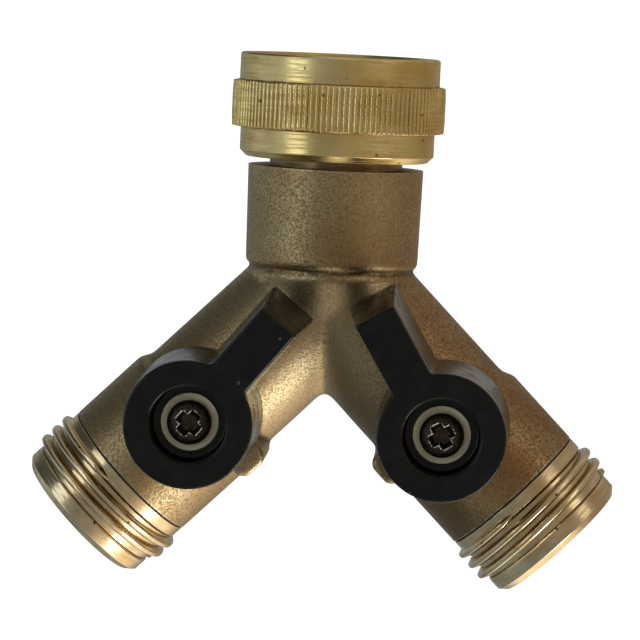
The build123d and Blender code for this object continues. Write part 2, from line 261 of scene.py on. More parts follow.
def prism(
    name: str,
    lower: np.ndarray,
    upper: np.ndarray,
    heights: tuple[float, float],
    place: Matrix = UPRIGHT,
) -> bpy.types.Object:
    """Join two outlines with the same number of points by straight walls.

    Args:
        name: The object's name.
        lower: Rows of x and y at the first height.
        upper: Rows of x and y at the second height.
        heights: The two heights.
        place: The matrix that puts the prism where it belongs.

    Returns:
        The closed solid.
    """
    count = len(lower)
    points = np.vstack([
        np.column_stack([lower, np.full(count, heights[0])]),
        np.column_stack([upper, np.full(count, heights[1])]),
    ])
    faces: list[Sequence[int]] = [list(range(count))[::-1], list(range(count, 2 * count))]
    for step in range(count):
        ahead = (step + 1) % count
        faces.append((step, ahead, count + ahead, count + step))
    return mesh_object(name, points, faces, place)


def rectangle(length: float, width: float, centre: tuple[float, float] = (0, 0)) -> np.ndarray:
    """The four corners of a rectangle round a centre."""
    corners = np.array([(-0.5, -0.5), (0.5, -0.5), (0.5, 0.5), (-0.5, 0.5)])
    return corners * (length, width) + centre


def arc_outline(inner: float, outer: float, start: float, sweep: float) -> np.ndarray:
    """The outline of a stretch of a flat ring.

    Args:
        inner: The inner radius.
        outer: The outer radius.
        start: The angle of the first end, in degrees.
        sweep: How far it goes round, in degrees.

    Returns:
        Rows of x and y.
    """
    angles = np.radians(np.linspace(start, start + sweep, 33))
    ring = np.column_stack([np.cos(angles), np.sin(angles)])
    return np.vstack([ring * inner, ring[::-1] * outer])


def settle(obj: bpy.types.Object) -> None:
    """Replace an object's mesh by what its modifiers make of it, and drop the modifiers."""
    bpy.context.view_layer.update()
    graph = bpy.context.evaluated_depsgraph_get()
    mesh = bpy.data.meshes.new_from_object(obj.evaluated_get(graph), depsgraph=graph)
    obj.modifiers.clear()
    spent, obj.data = obj.data, mesh
    bpy.data.meshes.remove(spent)


def fuse(name: str, pieces: Sequence[bpy.types.Object]) -> bpy.types.Object:
    """Gather several meshes into one object, keeping each as its own shell."""
    bm = bmesh.new()
    for piece in pieces:
        bm.from_mesh(piece.data)
    mesh = bpy.data.meshes.new(name)
    bm.to_mesh(mesh)
    bm.free()
    for piece in pieces:
        bpy.data.objects.remove(piece)
    return new_object(name, mesh)


def combine(
    target: bpy.types.Object, tools: Sequence[bpy.types.Object], operation: str = "DIFFERENCE"
) -> None:
    """Cut tools out of a solid, or add them to it, and remove the tools.

    Args:
        target: The solid that is changed.
        tools: The solids that are used up.
        operation: The name of a boolean operation.
    """
    for tool in tools:
        boolean = target.modifiers.new("combine", "BOOLEAN")
        boolean.operation = operation
        boolean.solver = "EXACT"
        boolean.object = tool
        settle(target)
        bpy.data.objects.remove(tool)


def weave_skin(obj: bpy.types.Object, voxel: float) -> None:
    """Give overlapping solids one even skin of small faces."""
    remesh = obj.modifiers.new("skin", "REMESH")
    remesh.mode = "VOXEL"
    remesh.voxel_size = voxel
    settle(obj)


def read_vectors(mesh: bpy.types.Mesh, attribute: str = "co") -> np.ndarray:
    """A mesh's vertex positions or normals, as rows."""
    values = np.empty(len(mesh.vertices) * 3, dtype=np.float32)
    mesh.vertices.foreach_get(attribute, values)
    return values.reshape(-1, 3).astype(float)


def read_edges(mesh: bpy.types.Mesh) -> np.ndarray:
    """A mesh's edges, as rows of two vertex numbers."""
    values = np.empty(len(mesh.edges) * 2, dtype=np.int32)
    mesh.edges.foreach_get("vertices", values)
    return values.reshape(-1, 2)


def neighbour_mean(values: np.ndarray, edges: np.ndarray) -> np.ndarray:
    """The mean of each vertex's neighbours, for every column of values."""
    count = len(values)
    ends = np.concatenate([edges[:, 0], edges[:, 1]])
    others = np.concatenate([edges[:, 1], edges[:, 0]])
    degree = np.maximum(np.bincount(ends, minlength=count), 1)
    columns = [
        np.bincount(ends, weights=values[others, column], minlength=count)
        for column in range(values.shape[1])
    ]
    return np.column_stack(columns) / degree[:, None]


def relax(obj: bpy.types.Object, rounds: int, weight: np.ndarray | float = 0.5) -> None:
    """Smooth a mesh by drawing each vertex towards its neighbours.

    Args:
        obj: The object whose mesh is smoothed.
        rounds: How many times.
        weight: How far each time, one number or one for each vertex.
    """
    mesh = obj.data
    points, edges = read_vectors(mesh), read_edges(mesh)
    share = np.broadcast_to(np.asarray(weight, dtype=float).reshape(-1, 1), (len(points), 1))
    for _ in range(rounds):
        points += share * (neighbour_mean(points, edges) - points)
    mesh.vertices.foreach_set("co", points.astype(np.float32).ravel())
    mesh.update()


def mark_curvature(obj: bpy.types.Object, full: float = 0.6, rounds: int = 2) -> None:
    """Write how convex and how hollow a mesh is, for the finishes that follow its shape.

    Args:
        obj: The object that gets the point attributes "edge" and "hollow", each from 0 to 1.
        full: The radius of curvature, in millimetres, that counts as 1.
        rounds: How many times the values are spread to their neighbours.
    """
    mesh = obj.data
    points, normals, edges = read_vectors(mesh), read_vectors(mesh, "normal"), read_edges(mesh)
    span = points[edges[:, 0]] - points[edges[:, 1]]
    squared = np.maximum((span**2).sum(axis=1), 1e-8)
    bends = np.concatenate([
        (normals[edges[:, 0]] * span).sum(axis=1) / squared,
        (normals[edges[:, 1]] * -span).sum(axis=1) / squared,
    ])
    ends = np.concatenate([edges[:, 0], edges[:, 1]])
    count = len(points)
    degree = np.maximum(np.bincount(ends, minlength=count), 1)
    bend = np.bincount(ends, weights=bends, minlength=count) / degree
    values = np.clip(bend * 2 * full, -1.5, 1.5)[:, None]
    for _ in range(rounds):
        values = 0.5 * (values + neighbour_mean(values, edges))
    for name, sign in (("edge", 1), ("hollow", -1)):
        layer = mesh.attributes.new(name, "FLOAT", "POINT")
        layer.data.foreach_set("value", np.clip(sign * values[:, 0], 0, 1).astype(np.float32))


# ---- Node trees ----------------------------------------------------------------------------
class Board:
    """A node tree being wired, with short calls for the nodes used here."""

    def __init__(self, tree: bpy.types.NodeTree) -> None:
        """Start wiring a tree."""
        self.tree = tree

    def add(
        self, kind: str, settings: dict[str, object] | None = None, **sockets: object
    ) -> bpy.types.Node:
        """Add a node, set its options and feed its inputs.

        Args:
            kind: The node's type.
            settings: Option names and their values.
            **sockets: An input's name with underscores for spaces, or "i" and its number, and
                the output or the value that feeds it.

        Returns:
            The new node.
        """
        node = self.tree.nodes.new(kind)
        for key, value in (settings or {}).items():
            setattr(node, key, value)
        for key, value in sockets.items():
            numbered = key[:1] == "i" and key[1:].isdigit()
            socket = node.inputs[int(key[1:])] if numbered else node.inputs[key.replace("_", " ")]
            if isinstance(value, bpy.types.NodeSocket):
                self.tree.links.new(value, socket)
            else:
                socket.default_value = value
        return node

    def math(
        self, operation: str, first: object, second: object = 0.0, third: object = 0.0
    ) -> Socket:
        """Work out one number from others, and return its socket."""
        node = self.add("ShaderNodeMath", {"operation": operation}, i0=first, i1=second, i2=third)
        return node.outputs[0]

    def clamp01(self, value: object) -> Socket:
        """Keep a number between 0 and 1."""
        return self.add("ShaderNodeClamp", None, Value=value).outputs[0]

    def stretch(
        self, value: object, low: float, high: float, to: tuple[float, float] = (0, 1)
    ) -> Socket:
        """Map a stretch of numbers smoothly to another, and hold beyond its ends."""
        node = self.add(
            "ShaderNodeMapRange", {"interpolation_type": "SMOOTHSTEP"}, Value=value, From_Min=low,
            From_Max=high, To_Min=to[0], To_Max=to[1],
        )
        return node.outputs[0]

    def blend(
        self, share: object, first: object, second: object, kind: str = "MIX"
    ) -> Socket:
        """Mix two colours, and return the socket of the result."""
        node = self.add("ShaderNodeMix", {"data_type": "RGBA", "blend_type": kind})
        for socket, value in ((0, share), (6, first), (7, second)):
            if isinstance(value, bpy.types.NodeSocket):
                self.tree.links.new(value, node.inputs[socket])
            else:
                node.inputs[socket].default_value = value
        return node.outputs[2]

    def noise(
        self, where: object, scale: float, detail: float = 3.0, rough: float = 0.55
    ) -> Socket:
        """Fractal noise over a place, and return its value's socket."""
        node = self.add(
            "ShaderNodeTexNoise", None, Vector=where, Scale=scale, Detail=detail, Roughness=rough
        )
        return node.outputs[0]

    def combine_xyz(self, x: object, y: object, z: object) -> Socket:
        """A vector from three numbers."""
        return self.add("ShaderNodeCombineXYZ", None, X=x, Y=y, Z=z).outputs[0]

    def separate_xyz(self, vector: object) -> Sequence[Socket]:
        """The three numbers of a vector."""
        return self.add("ShaderNodeSeparateXYZ", None, Vector=vector).outputs

    def scaled(self, vector: object, factor: float) -> Socket:
        """A vector times a number."""
        node = self.add("ShaderNodeVectorMath", {"operation": "SCALE"}, i0=vector, Scale=factor)
        return node.outputs[0]


def rgba(colour: Colour) -> tuple[float, float, float, float]:
    """A colour with full alpha."""
    return (*colour, 1.0)


class SharedEffect(Enum):
    """The shader node groups that more than one finish uses."""

    TURNING_MARKS = "turning marks"
    CAST_GRAIN = "cast grain"
    EDGE_WEAR = "edge wear"
    GRIME_AND_SHADE = "grime_and_shade"
    SPECKS = "specks"


@dataclass
class EffectShelf:
    """Builds each shared effect once and hands it out."""

    groups: dict[SharedEffect, bpy.types.NodeTree] = field(default_factory=dict)

    def group(self, effect: SharedEffect) -> bpy.types.NodeTree:
        """The node group of an effect, built the first time it is asked for."""
        if effect not in self.groups:
            tree = bpy.data.node_groups.new(effect.value, "ShaderNodeTree")
            makers = {
                SharedEffect.TURNING_MARKS: self._turning_marks,
                SharedEffect.CAST_GRAIN: self._cast_grain, SharedEffect.EDGE_WEAR: self._edge_wear,
                SharedEffect.GRIME_AND_SHADE: self._grime_and_shade, SharedEffect.SPECKS: self._specks,
            }
            makers[effect](tree)
            self.groups[effect] = tree
        return self.groups[effect]

    @staticmethod
    def _sockets(
        tree: bpy.types.NodeTree, inputs: dict[str, float | None], outputs: Sequence[str]
    ) -> tuple[Board, bpy.types.Node, bpy.types.Node]:
        """Give a group its named sockets.

        Args:
            tree: The group.
            inputs: Each input's name and its default number, or None for a vector.
            outputs: The names of its numbers out.

        Returns:
            The board, the group's input node and its output node.
        """
        for name, default in inputs.items():
            kind = "NodeSocketVector" if default is None else "NodeSocketFloat"
            socket = tree.interface.new_socket(name=name, in_out="INPUT", socket_type=kind)
            if default is not None:
                socket.default_value = default
        for name in outputs:
            tree.interface.new_socket(name=name, in_out="OUTPUT", socket_type="NodeSocketFloat")
        board = Board(tree)
        return board, tree.nodes.new("NodeGroupInput"), tree.nodes.new("NodeGroupOutput")

    def _turning_marks(self, tree: bpy.types.NodeTree) -> None:
        """Fine rings left by the tool, round the Z axis of a place given in millimetres."""
        board, given, out = self._sockets(
            tree, {"Place": None, "Pitch": 0.12}, ("Height", "Streak", "Tone")
        )
        x, y, z = board.separate_xyz(given.outputs["Place"])
        radius = board.math(
            "SQRT", board.math("ADD", board.math("MULTIPLY", x, x), board.math("MULTIPLY", y, y)),
        )
        run = board.math("ADD", z, radius)
        rings = board.math("DIVIDE", run, given.outputs["Pitch"])
        fine = board.noise(board.combine_xyz(board.math("MULTIPLY", x, 0.05),
                                             board.math("MULTIPLY", y, 0.05), rings), 0.5, 2.0)
        broad = board.noise(
            board.combine_xyz(
                board.math("MULTIPLY", x, 0.16), board.math("MULTIPLY", y, 0.16),
                board.math("MULTIPLY", run, 2.6),
            ),
            1.0, 4.0, 0.65,
        )
        patch = board.noise(board.combine_xyz(x, y, run), 0.16, 3.0)
        tree.links.new(fine, out.inputs["Height"])
        tree.links.new(board.stretch(broad, 0.35, 0.68), out.inputs["Streak"])
        tree.links.new(board.stretch(patch, 0.32, 0.68), out.inputs["Tone"])

    def _cast_grain(self, tree: bpy.types.NodeTree) -> None:
        """The sandy skin of a casting: fine grain, small pits and broad cloudy patches."""
        board, given, out = self._sockets(
            tree, {"Place": None, "Grain": 0.45}, ("Height", "Pits", "Clouds", "Fine")
        )
        place = given.outputs["Place"]
        finer = board.add(
            "ShaderNodeVectorMath", {"operation": "DIVIDE"}, i0=place,
            i1=board.combine_xyz(
                given.outputs["Grain"], given.outputs["Grain"], given.outputs["Grain"],
            ),
        ).outputs[0]
        grain = board.noise(finer, 0.8, 5.0, 0.62)
        ragged = board.add("ShaderNodeTexNoise", None, Vector=finer, Scale=1.4, Detail=2.0)
        torn = board.add("ShaderNodeVectorMath", {"operation": "ADD"}, i0=finer,
                         i1=board.scaled(ragged.outputs["Color"], 0.4)).outputs[0]
        cell = board.add("ShaderNodeTexVoronoi", {"feature": "F1"}, Vector=torn, Scale=0.75)
        chance = board.separate_xyz(cell.outputs["Color"])[0]
        reach = board.stretch(chance, 0.74, 1.0, (-0.1, 0.36))
        pits = board.stretch(board.math("SUBTRACT", reach, cell.outputs["Distance"]), 0.0, 0.3)
        clouds = board.stretch(board.noise(place, 0.11, 4.0, 0.6), 0.32, 0.66)
        height = board.math("SUBTRACT", grain, board.math("MULTIPLY", pits, 0.55))
        tree.links.new(height, out.inputs["Height"])
        tree.links.new(pits, out.inputs["Pits"])
        tree.links.new(clouds, out.inputs["Clouds"])
        tree.links.new(board.stretch(grain, 0.36, 0.64), out.inputs["Fine"])

    def _edge_wear(self, tree: bpy.types.NodeTree) -> None:
        """Where rubbing has brightened the corners, broken up by noise."""
        board, given, out = self._sockets(
            tree, {"Place": None, "Amount": 1.0, "Scale": 1.2}, ("Mask",)
        )
        edge = board.add("ShaderNodeAttribute", {"attribute_name": "edge"}).outputs["Fac"]
        chips = board.add("ShaderNodeTexNoise", None, Vector=given.outputs["Place"],
                          Scale=given.outputs["Scale"], Detail=4.0).outputs[0]
        raised = board.math("MULTIPLY", edge, board.stretch(chips, 0.3, 0.62, (0.25, 1.35)))
        tree.links.new(
            board.clamp01(board.math(
                "MULTIPLY", board.stretch(raised, 0.25, 0.85), given.outputs["Amount"],
            )),
            out.inputs["Mask"],
        )

    def _grime_and_shade(self, tree: bpy.types.NodeTree) -> None:
        """Dark residue and painted shade that collect in grooves and corners."""
        board, given, out = self._sockets(
            tree, {"Place": None, "Amount": 1.0, "Scale": 0.8}, ("Mask",)
        )
        hollow = board.add("ShaderNodeAttribute", {"attribute_name": "hollow"}).outputs["Fac"]
        drift = board.add("ShaderNodeTexNoise", None, Vector=given.outputs["Place"],
                          Scale=given.outputs["Scale"], Detail=4.0).outputs[0]
        held = board.math("MULTIPLY", board.stretch(hollow, 0.04, 0.5),
                          board.stretch(drift, 0.3, 0.66, (0.35, 1.2)))
        tree.links.new(board.clamp01(board.math("MULTIPLY", held, given.outputs["Amount"])),
                       out.inputs["Mask"])

    def _specks(self, tree: bpy.types.NodeTree) -> None:
        """Scattered small marks, each of its own size."""
        board, given, out = self._sockets(
            tree, {"Place": None, "Spacing": 2.0, "Share": 0.3}, ("Mask",)
        )
        spacing = given.outputs["Spacing"]
        spread = board.add(
            "ShaderNodeVectorMath", {"operation": "DIVIDE"}, i0=given.outputs["Place"],
            i1=board.combine_xyz(spacing, spacing, spacing),
        ).outputs[0]
        cell = board.add("ShaderNodeTexVoronoi", {"feature": "F1"}, Vector=spread, Scale=1.0)
        chance = board.separate_xyz(cell.outputs["Color"])
        size = board.math("MULTIPLY", board.math("MULTIPLY", chance[1], 0.2),
                          board.math("LESS_THAN", chance[0], given.outputs["Share"]))
        speck = board.math("LESS_THAN", cell.outputs["Distance"], size)
        tree.links.new(speck, out.inputs["Mask"])


SHELF = EffectShelf()


class FinishBoard(Board):
    """A material's node tree, with its shader and the place it reads."""

    def __init__(self, name: str, place: Matrix = UPRIGHT) -> None:
        """Start a material.

        Args:
            name: The material's name.
            place: The frame that patterns follow, such as a leg's for turned rings.
        """
        self.material = bpy.data.materials.new(name)
        self.material.use_nodes = True
        super().__init__(self.material.node_tree)
        self.shader = self.tree.nodes["Principled BSDF"]
        source = self.add("ShaderNodeTexCoord").outputs["Object"]
        mapping = self.add("ShaderNodeMapping", {"vector_type": "TEXTURE"}, Vector=source)
        mapping.inputs["Location"].default_value = place.translation * MM
        mapping.inputs["Rotation"].default_value = place.to_euler()
        self.place = self.scaled(mapping.outputs[0], 1 / MM)

    def effect(self, effect: SharedEffect, **values: object) -> bpy.types.Node:
        """Place a shared effect on this material's own place, with its own values."""
        node = self.tree.nodes.new("ShaderNodeGroup")
        node.node_tree = SHELF.group(effect)
        self.tree.links.new(self.place, node.inputs["Place"])
        for key, value in values.items():
            node.inputs[key].default_value = value
        return node

    def feed(self, **sockets: object) -> None:
        """Set or link the shader's own sockets."""
        for key, value in sockets.items():
            socket = self.shader.inputs[key.replace("_", " ")]
            if isinstance(value, bpy.types.NodeSocket):
                self.tree.links.new(value, socket)
            else:
                socket.default_value = value

    def bump(self, height: object, depth: float, strength: float = 1.0) -> None:
        """Feed the shader's normal from a height, with its full depth in millimetres."""
        node = self.add(
            "ShaderNodeBump", None, Height=height, Strength=strength, Distance=depth * MM,
        )
        self.tree.links.new(node.outputs[0], self.shader.inputs["Normal"])


# ---- Finishes ------------------------------------------------------------------------------
@dataclass(frozen=True)
class TurnedBrass:
    """Brass straight off the lathe, with rings, stains and painted shade in its grooves and bright
    corners.
    """

    name: str
    base: Colour
    pale: Colour
    stain_and_shade: Colour
    roughness: tuple[float, float]
    ring_pitch: float = 0.14
    ring_depth: float = 0.006
    wear: float = 0.6
    grime_and_shade: float = 0.9
    tarnish: float = 0.35

    def material(self, place: Matrix = UPRIGHT) -> bpy.types.Material:
        """Build the finish for a piece turned about the Z axis of a place."""
        board = FinishBoard(self.name, place)
        marks = board.effect(SharedEffect.TURNING_MARKS, Pitch=self.ring_pitch)
        wear = board.effect(SharedEffect.EDGE_WEAR, Amount=self.wear, Scale=1.4)
        grime_and_shade = board.effect(SharedEffect.GRIME_AND_SHADE, Amount=self.grime_and_shade, Scale=0.7)
        nicks = board.effect(SharedEffect.SPECKS, Spacing=1.7, Share=0.16)
        tone = board.blend(marks.outputs["Tone"], rgba(self.base), rgba(self.pale))
        dull = board.math("MULTIPLY", marks.outputs["Streak"], self.tarnish)
        tone = board.blend(dull, tone, rgba(self.stain_and_shade))
        # Painted shade with grime: hollows and grooves are darkened towards the stain colour.
        tone = board.blend(grime_and_shade.outputs["Mask"], tone, rgba(self.stain_and_shade))
        tone = board.blend(
            board.math("MULTIPLY", wear.outputs["Mask"], 0.6), tone, rgba(self.pale),
        )
        tone = board.blend(nicks.outputs["Mask"], tone, rgba(self.stain_and_shade))
        low, high = self.roughness
        rough = board.stretch(marks.outputs["Streak"], 0.0, 1.0, (low, high))
        rough = board.math("ADD", rough, board.math("MULTIPLY", grime_and_shade.outputs["Mask"], 0.25))
        rough = board.math("SUBTRACT", rough, board.math("MULTIPLY", wear.outputs["Mask"], 0.08))
        board.feed(Base_Color=tone, Roughness=rough, Metallic=1.0)
        height = board.math("SUBTRACT", marks.outputs["Height"],
                            board.math("MULTIPLY", nicks.outputs["Mask"], 3.0))
        board.bump(height, self.ring_depth)
        return board.material


@dataclass(frozen=True)
class CastBrass:
    """Brass as it left the sand: brown, grainy, redder to one side, rubbed pale in places, with a
    painted highlight below the neck and painted shade in hollows and on one flank.
    """

    name: str = "cast brass"
    brown: Colour = (0.33, 0.22, 0.105)
    red: Colour = (0.26, 0.145, 0.06)
    pale: Colour = (0.46, 0.36, 0.22)
    dark: Colour = (0.07, 0.045, 0.022)
    grain: float = 0.3
    depth: float = 0.06

    def material(self) -> bpy.types.Material:
        """Build the finish."""
        board = FinishBoard(self.name)
        skin = board.effect(SharedEffect.CAST_GRAIN, Grain=self.grain)
        wear = board.effect(SharedEffect.EDGE_WEAR, Amount=0.9, Scale=1.1)
        grime_and_shade = board.effect(SharedEffect.GRIME_AND_SHADE, Amount=1.0, Scale=0.6)
        x, _, z = board.separate_xyz(board.place)
        side = board.stretch(x, -4.0, 16.0)
        low = board.stretch(z, -10.0, -34.0)
        tone = board.blend(board.math("MULTIPLY", side, low), rgba(self.brown), rgba(self.red))
        rubbed = board.math("MULTIPLY", skin.outputs["Clouds"],
                            board.stretch(skin.outputs["Fine"], 0.2, 0.9, (0.25, 1.0)))
        tone = board.blend(board.math("MULTIPLY", rubbed, 0.55), tone, rgba(self.pale))
        sunk = board.stretch(skin.outputs["Fine"], 0.65, 0.0, (0.0, 0.45))
        tone = board.blend(sunk, tone, rgba(self.dark))
        # Painted highlight: the middle of the core below the neck, down to the crotch, is paled as
        # if lit from above and in front.
        middle = board.math("SUBTRACT", 1.0, board.stretch(board.math("ABSOLUTE", x), 2.0, 16.0))
        crotch = board.math("MULTIPLY", middle, board.stretch(z, -24.2, -27.0))
        tone = board.blend(board.math("MULTIPLY", crotch, 0.5), tone, rgba(self.pale))
        # Painted shade: the right leg's inner flank, which faces down and to the left, is
        # darkened.
        off_axis = board.math(
            "MULTIPLY", board.math("ADD", board.math("ADD", x, z), LAYOUT.branch_depth),
            cos(radians(LAYOUT.splay)),
        )
        inner = board.math(
            "MULTIPLY", board.stretch(off_axis, -3.0, -9.0), board.stretch(x, 0.0, 4.0),
        )
        tone = board.blend(board.math("MULTIPLY", inner, 0.6), tone, rgba(self.dark))
        tone = board.blend(
            board.math("MULTIPLY", skin.outputs["Pits"], 0.45), tone, rgba(self.dark),
        )
        # Painted shade with grime: hollows, such as the concave band under the neck's ledge, are
        # darkened.
        tone = board.blend(
            board.math("MULTIPLY", grime_and_shade.outputs["Mask"], 0.7), tone, rgba(self.dark),
        )
        tone = board.blend(
            board.math("MULTIPLY", wear.outputs["Mask"], 0.75), tone, rgba(self.pale),
        )
        rough = board.stretch(skin.outputs["Fine"], 0.0, 1.0, (0.47, 0.32))
        rough = board.math("SUBTRACT", rough, board.math("MULTIPLY", wear.outputs["Mask"], 0.1))
        rough = board.math("ADD", rough, board.math("MULTIPLY", skin.outputs["Pits"], 0.25))
        board.feed(Base_Color=tone, Roughness=rough, Metallic=0.92)
        board.bump(skin.outputs["Height"], self.depth)
        return board.material


@dataclass(frozen=True)
class MouldedPlastic:
    """Glossy black moulded plastic with fine texture, handling marks and a little dust."""

    name: str = "black lever plastic"
    base: Colour = (0.0035, 0.0036, 0.0036)
    rubbed: Colour = (0.006, 0.006, 0.0056)
    dust: Colour = (0.1, 0.095, 0.08)

    def material(self) -> bpy.types.Material:
        """Build the finish."""
        board = FinishBoard(self.name)
        clouds = board.stretch(board.noise(board.place, 0.35, 4.0, 0.6), 0.4, 0.7)
        peel = board.noise(board.place, 2.2, 2.0, 0.5)
        wear = board.effect(SharedEffect.EDGE_WEAR, Amount=0.8, Scale=1.6)
        specks = board.effect(SharedEffect.SPECKS, Spacing=1.5, Share=0.12)
        tone = board.blend(clouds, rgba(self.base), rgba(self.rubbed))
        tone = board.blend(
            board.math("MULTIPLY", wear.outputs["Mask"], 0.5), tone, rgba(self.rubbed),
        )
        tone = board.blend(
            board.math("MULTIPLY", specks.outputs["Mask"], 0.5), tone, rgba(self.dust),
        )
        rough = board.stretch(clouds, 0.0, 1.0, (0.14, 0.32))
        rough = board.math("ADD", rough, board.math("MULTIPLY", specks.outputs["Mask"], 0.3))
        board.feed(Base_Color=tone, Roughness=rough, Metallic=0.0, Specular_IOR_Level=0.24)
        board.bump(peel, 0.006)
        return board.material


@dataclass(frozen=True)
class SmallPartFinish:
    """A quiet finish for the small pieces: two tones, a grain and a sheen."""

    name: str
    base: Colour
    other: Colour
    roughness: tuple[float, float]
    metallic: float = 0.0
    grain: float = 0.5
    depth: float = 0.01
    wear: Colour | None = None

    def material(self) -> bpy.types.Material:
        """Build the finish."""
        board = FinishBoard(self.name)
        mottle = board.stretch(board.noise(board.place, 1 / self.grain, 4.0, 0.6), 0.36, 0.66)
        tone = board.blend(mottle, rgba(self.base), rgba(self.other))
        if self.wear is not None:
            worn = board.effect(SharedEffect.EDGE_WEAR, Amount=1.0, Scale=2.5)
            tone = board.blend(worn.outputs["Mask"], tone, rgba(self.wear))
        rough = board.stretch(mottle, 0.0, 1.0, self.roughness)
        board.feed(Base_Color=tone, Roughness=rough, Metallic=self.metallic)
        board.bump(mottle, self.depth)
        return board.material


NUT_BRASS = TurnedBrass(
    "yellow nut brass", (0.64, 0.45, 0.165), (0.78, 0.61, 0.29), (0.3, 0.17, 0.05),
    (0.22, 0.44), ring_pitch=0.22, wear=0.4, grime_and_shade=1.3, tarnish=0.35,
)
# Its dark stain colour, laid into the hollows, also paints shade into the thread grooves.
OUTLET_BRASS = TurnedBrass(
    "gold outlet brass", (0.60, 0.44, 0.25), (0.80, 0.66, 0.44), (0.11, 0.065, 0.03),
    (0.12, 0.34), ring_pitch=0.18, wear=0.8, grime_and_shade=1.6, tarnish=0.35,
)
# Painted shade: the tailpiece is seen only in the shadowed gap between nut and body, so its brass
# is painted dark.
SHADED_TAIL_BRASS = TurnedBrass(
    "shade_darkened tailpiece brass", (0.20, 0.13, 0.06), (0.32, 0.22, 0.12), (0.05, 0.03, 0.015),
    (0.3, 0.5),
)
CASTING = CastBrass()
LEVER_PLASTIC = MouldedPlastic()
BEIGE_WASHER = SmallPartFinish(
    "beige washer", (0.90, 0.80, 0.58), (0.95, 0.85, 0.64), (0.5, 0.7), grain=0.7
)
SCREW_STEEL = SmallPartFinish(
    "browned screw steel", (0.03, 0.022, 0.016), (0.07, 0.048, 0.034), (0.28, 0.5),
    metallic=0.9, grain=0.5, depth=0.03, wear=(0.85, 0.78, 0.66),
)
BLACK_RUBBER = SmallPartFinish(
    "black rubber", (0.012, 0.012, 0.012), (0.03, 0.03, 0.03), (0.55, 0.8), grain=0.3
)
WHITE_SEAT = SmallPartFinish(
    "white seat plastic", (0.80, 0.79, 0.76), (0.88, 0.87, 0.84), (0.35, 0.5), grain=1.2
)
CHROMED = SmallPartFinish(
    "chromed ball", (0.62, 0.63, 0.65), (0.72, 0.73, 0.75), (0.06, 0.14), metallic=1.0,
    grain=2.5, depth=0.002,
)
STEM_BRASS = SmallPartFinish(
    "plain stem brass", (0.55, 0.40, 0.17), (0.68, 0.52, 0.26), (0.25, 0.4), metallic=1.0,
    grain=0.4,
)


def dress(obj: bpy.types.Object, material: bpy.types.Material) -> None:
    """Give an object one material everywhere."""
    obj.data.materials.clear()
    obj.data.materials.append(material)
    for polygon in obj.data.polygons:
        if polygon.material_index:
            polygon.material_index = 0


def finished(
    piece: bpy.types.Object, material: bpy.types.Material, body: str, slot: str, *nodes: str
) -> bpy.types.Object:
    """Dress a finished piece, hang it on its CAD body and hide the CAD nodes that it stands for.

    Args:
        piece: The piece, in place and in millimetres.
        material: Its material.
        body: The CAD body that it rides on.
        slot: Not used.
        *nodes: The CAD nodes that it stands for.

    Returns:
        The same piece.
    """
    dress(piece, material)
    piece.data.transform(Matrix.Scale(MM, 4))
    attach(piece, body)
    if nodes:
        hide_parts(*nodes)
    LOG.info("%s: %d faces on %s", piece.name, len(piece.data.polygons), body)
    return piece


# ---- Repeats made by geometry nodes --------------------------------------------------------
class NodeRecipe:
    """A geometry nodes tree with named inputs, run once on a carrier object."""

    def __init__(self, name: str, inputs: dict[str, float | int]) -> None:
        """Start a tree.

        Args:
            name: The tree's name.
            inputs: The names and default values of its sizes.
        """
        self.tree = bpy.data.node_groups.new(name, "GeometryNodeTree")
        self.tree.interface.new_socket(
            name="Geometry", in_out="OUTPUT", socket_type="NodeSocketGeometry"
        )
        self.keys: dict[str, str] = {}
        for label, default in inputs.items():
            kind = "NodeSocketInt" if isinstance(default, int) else "NodeSocketFloat"
            socket = self.tree.interface.new_socket(name=label, in_out="INPUT", socket_type=kind)
            socket.default_value = default
            self.keys[label] = socket.identifier
        socket = self.tree.interface.new_socket(
            name="Finish", in_out="INPUT", socket_type="NodeSocketMaterial"
        )
        self.keys["Finish"] = socket.identifier
        self.board = Board(self.tree)
        self.given = self.tree.nodes.new("NodeGroupInput").outputs
        self.out = self.tree.nodes.new("NodeGroupOutput").inputs["Geometry"]

    def close(self, geometry: bpy.types.NodeSocket) -> None:
        """End the tree with real geometry and its material."""
        real = self.board.add("GeometryNodeRealizeInstances", None, Geometry=geometry)
        named = self.board.add("GeometryNodeSetMaterial", None, Geometry=real.outputs[0],
                               Material=self.given["Finish"])
        self.tree.links.new(named.outputs[0], self.out)

    def run(self, name: str, place: Matrix, material: bpy.types.Material,
            **sizes: float | int) -> bpy.types.Object:
        """Run the tree with its own sizes and keep the result as a plain mesh.

        Args:
            name: The new object's name.
            place: The matrix that puts the result where it belongs.
            material: The material of the result.
            **sizes: Values of the tree's inputs, in the units that it names.

        Returns:
            The object, closed and shaded.
        """
        obj = new_object(name, bpy.data.meshes.new(name))
        modifier = obj.modifiers.new(name, "NODES")
        modifier.node_group = self.tree
        modifier[self.keys["Finish"]] = material
        for label, value in sizes.items():
            modifier[self.keys[label.replace("_", " ")]] = value
        settle(obj)
        obj.data.transform(place)
        tidy_mesh(obj.data)
        return obj


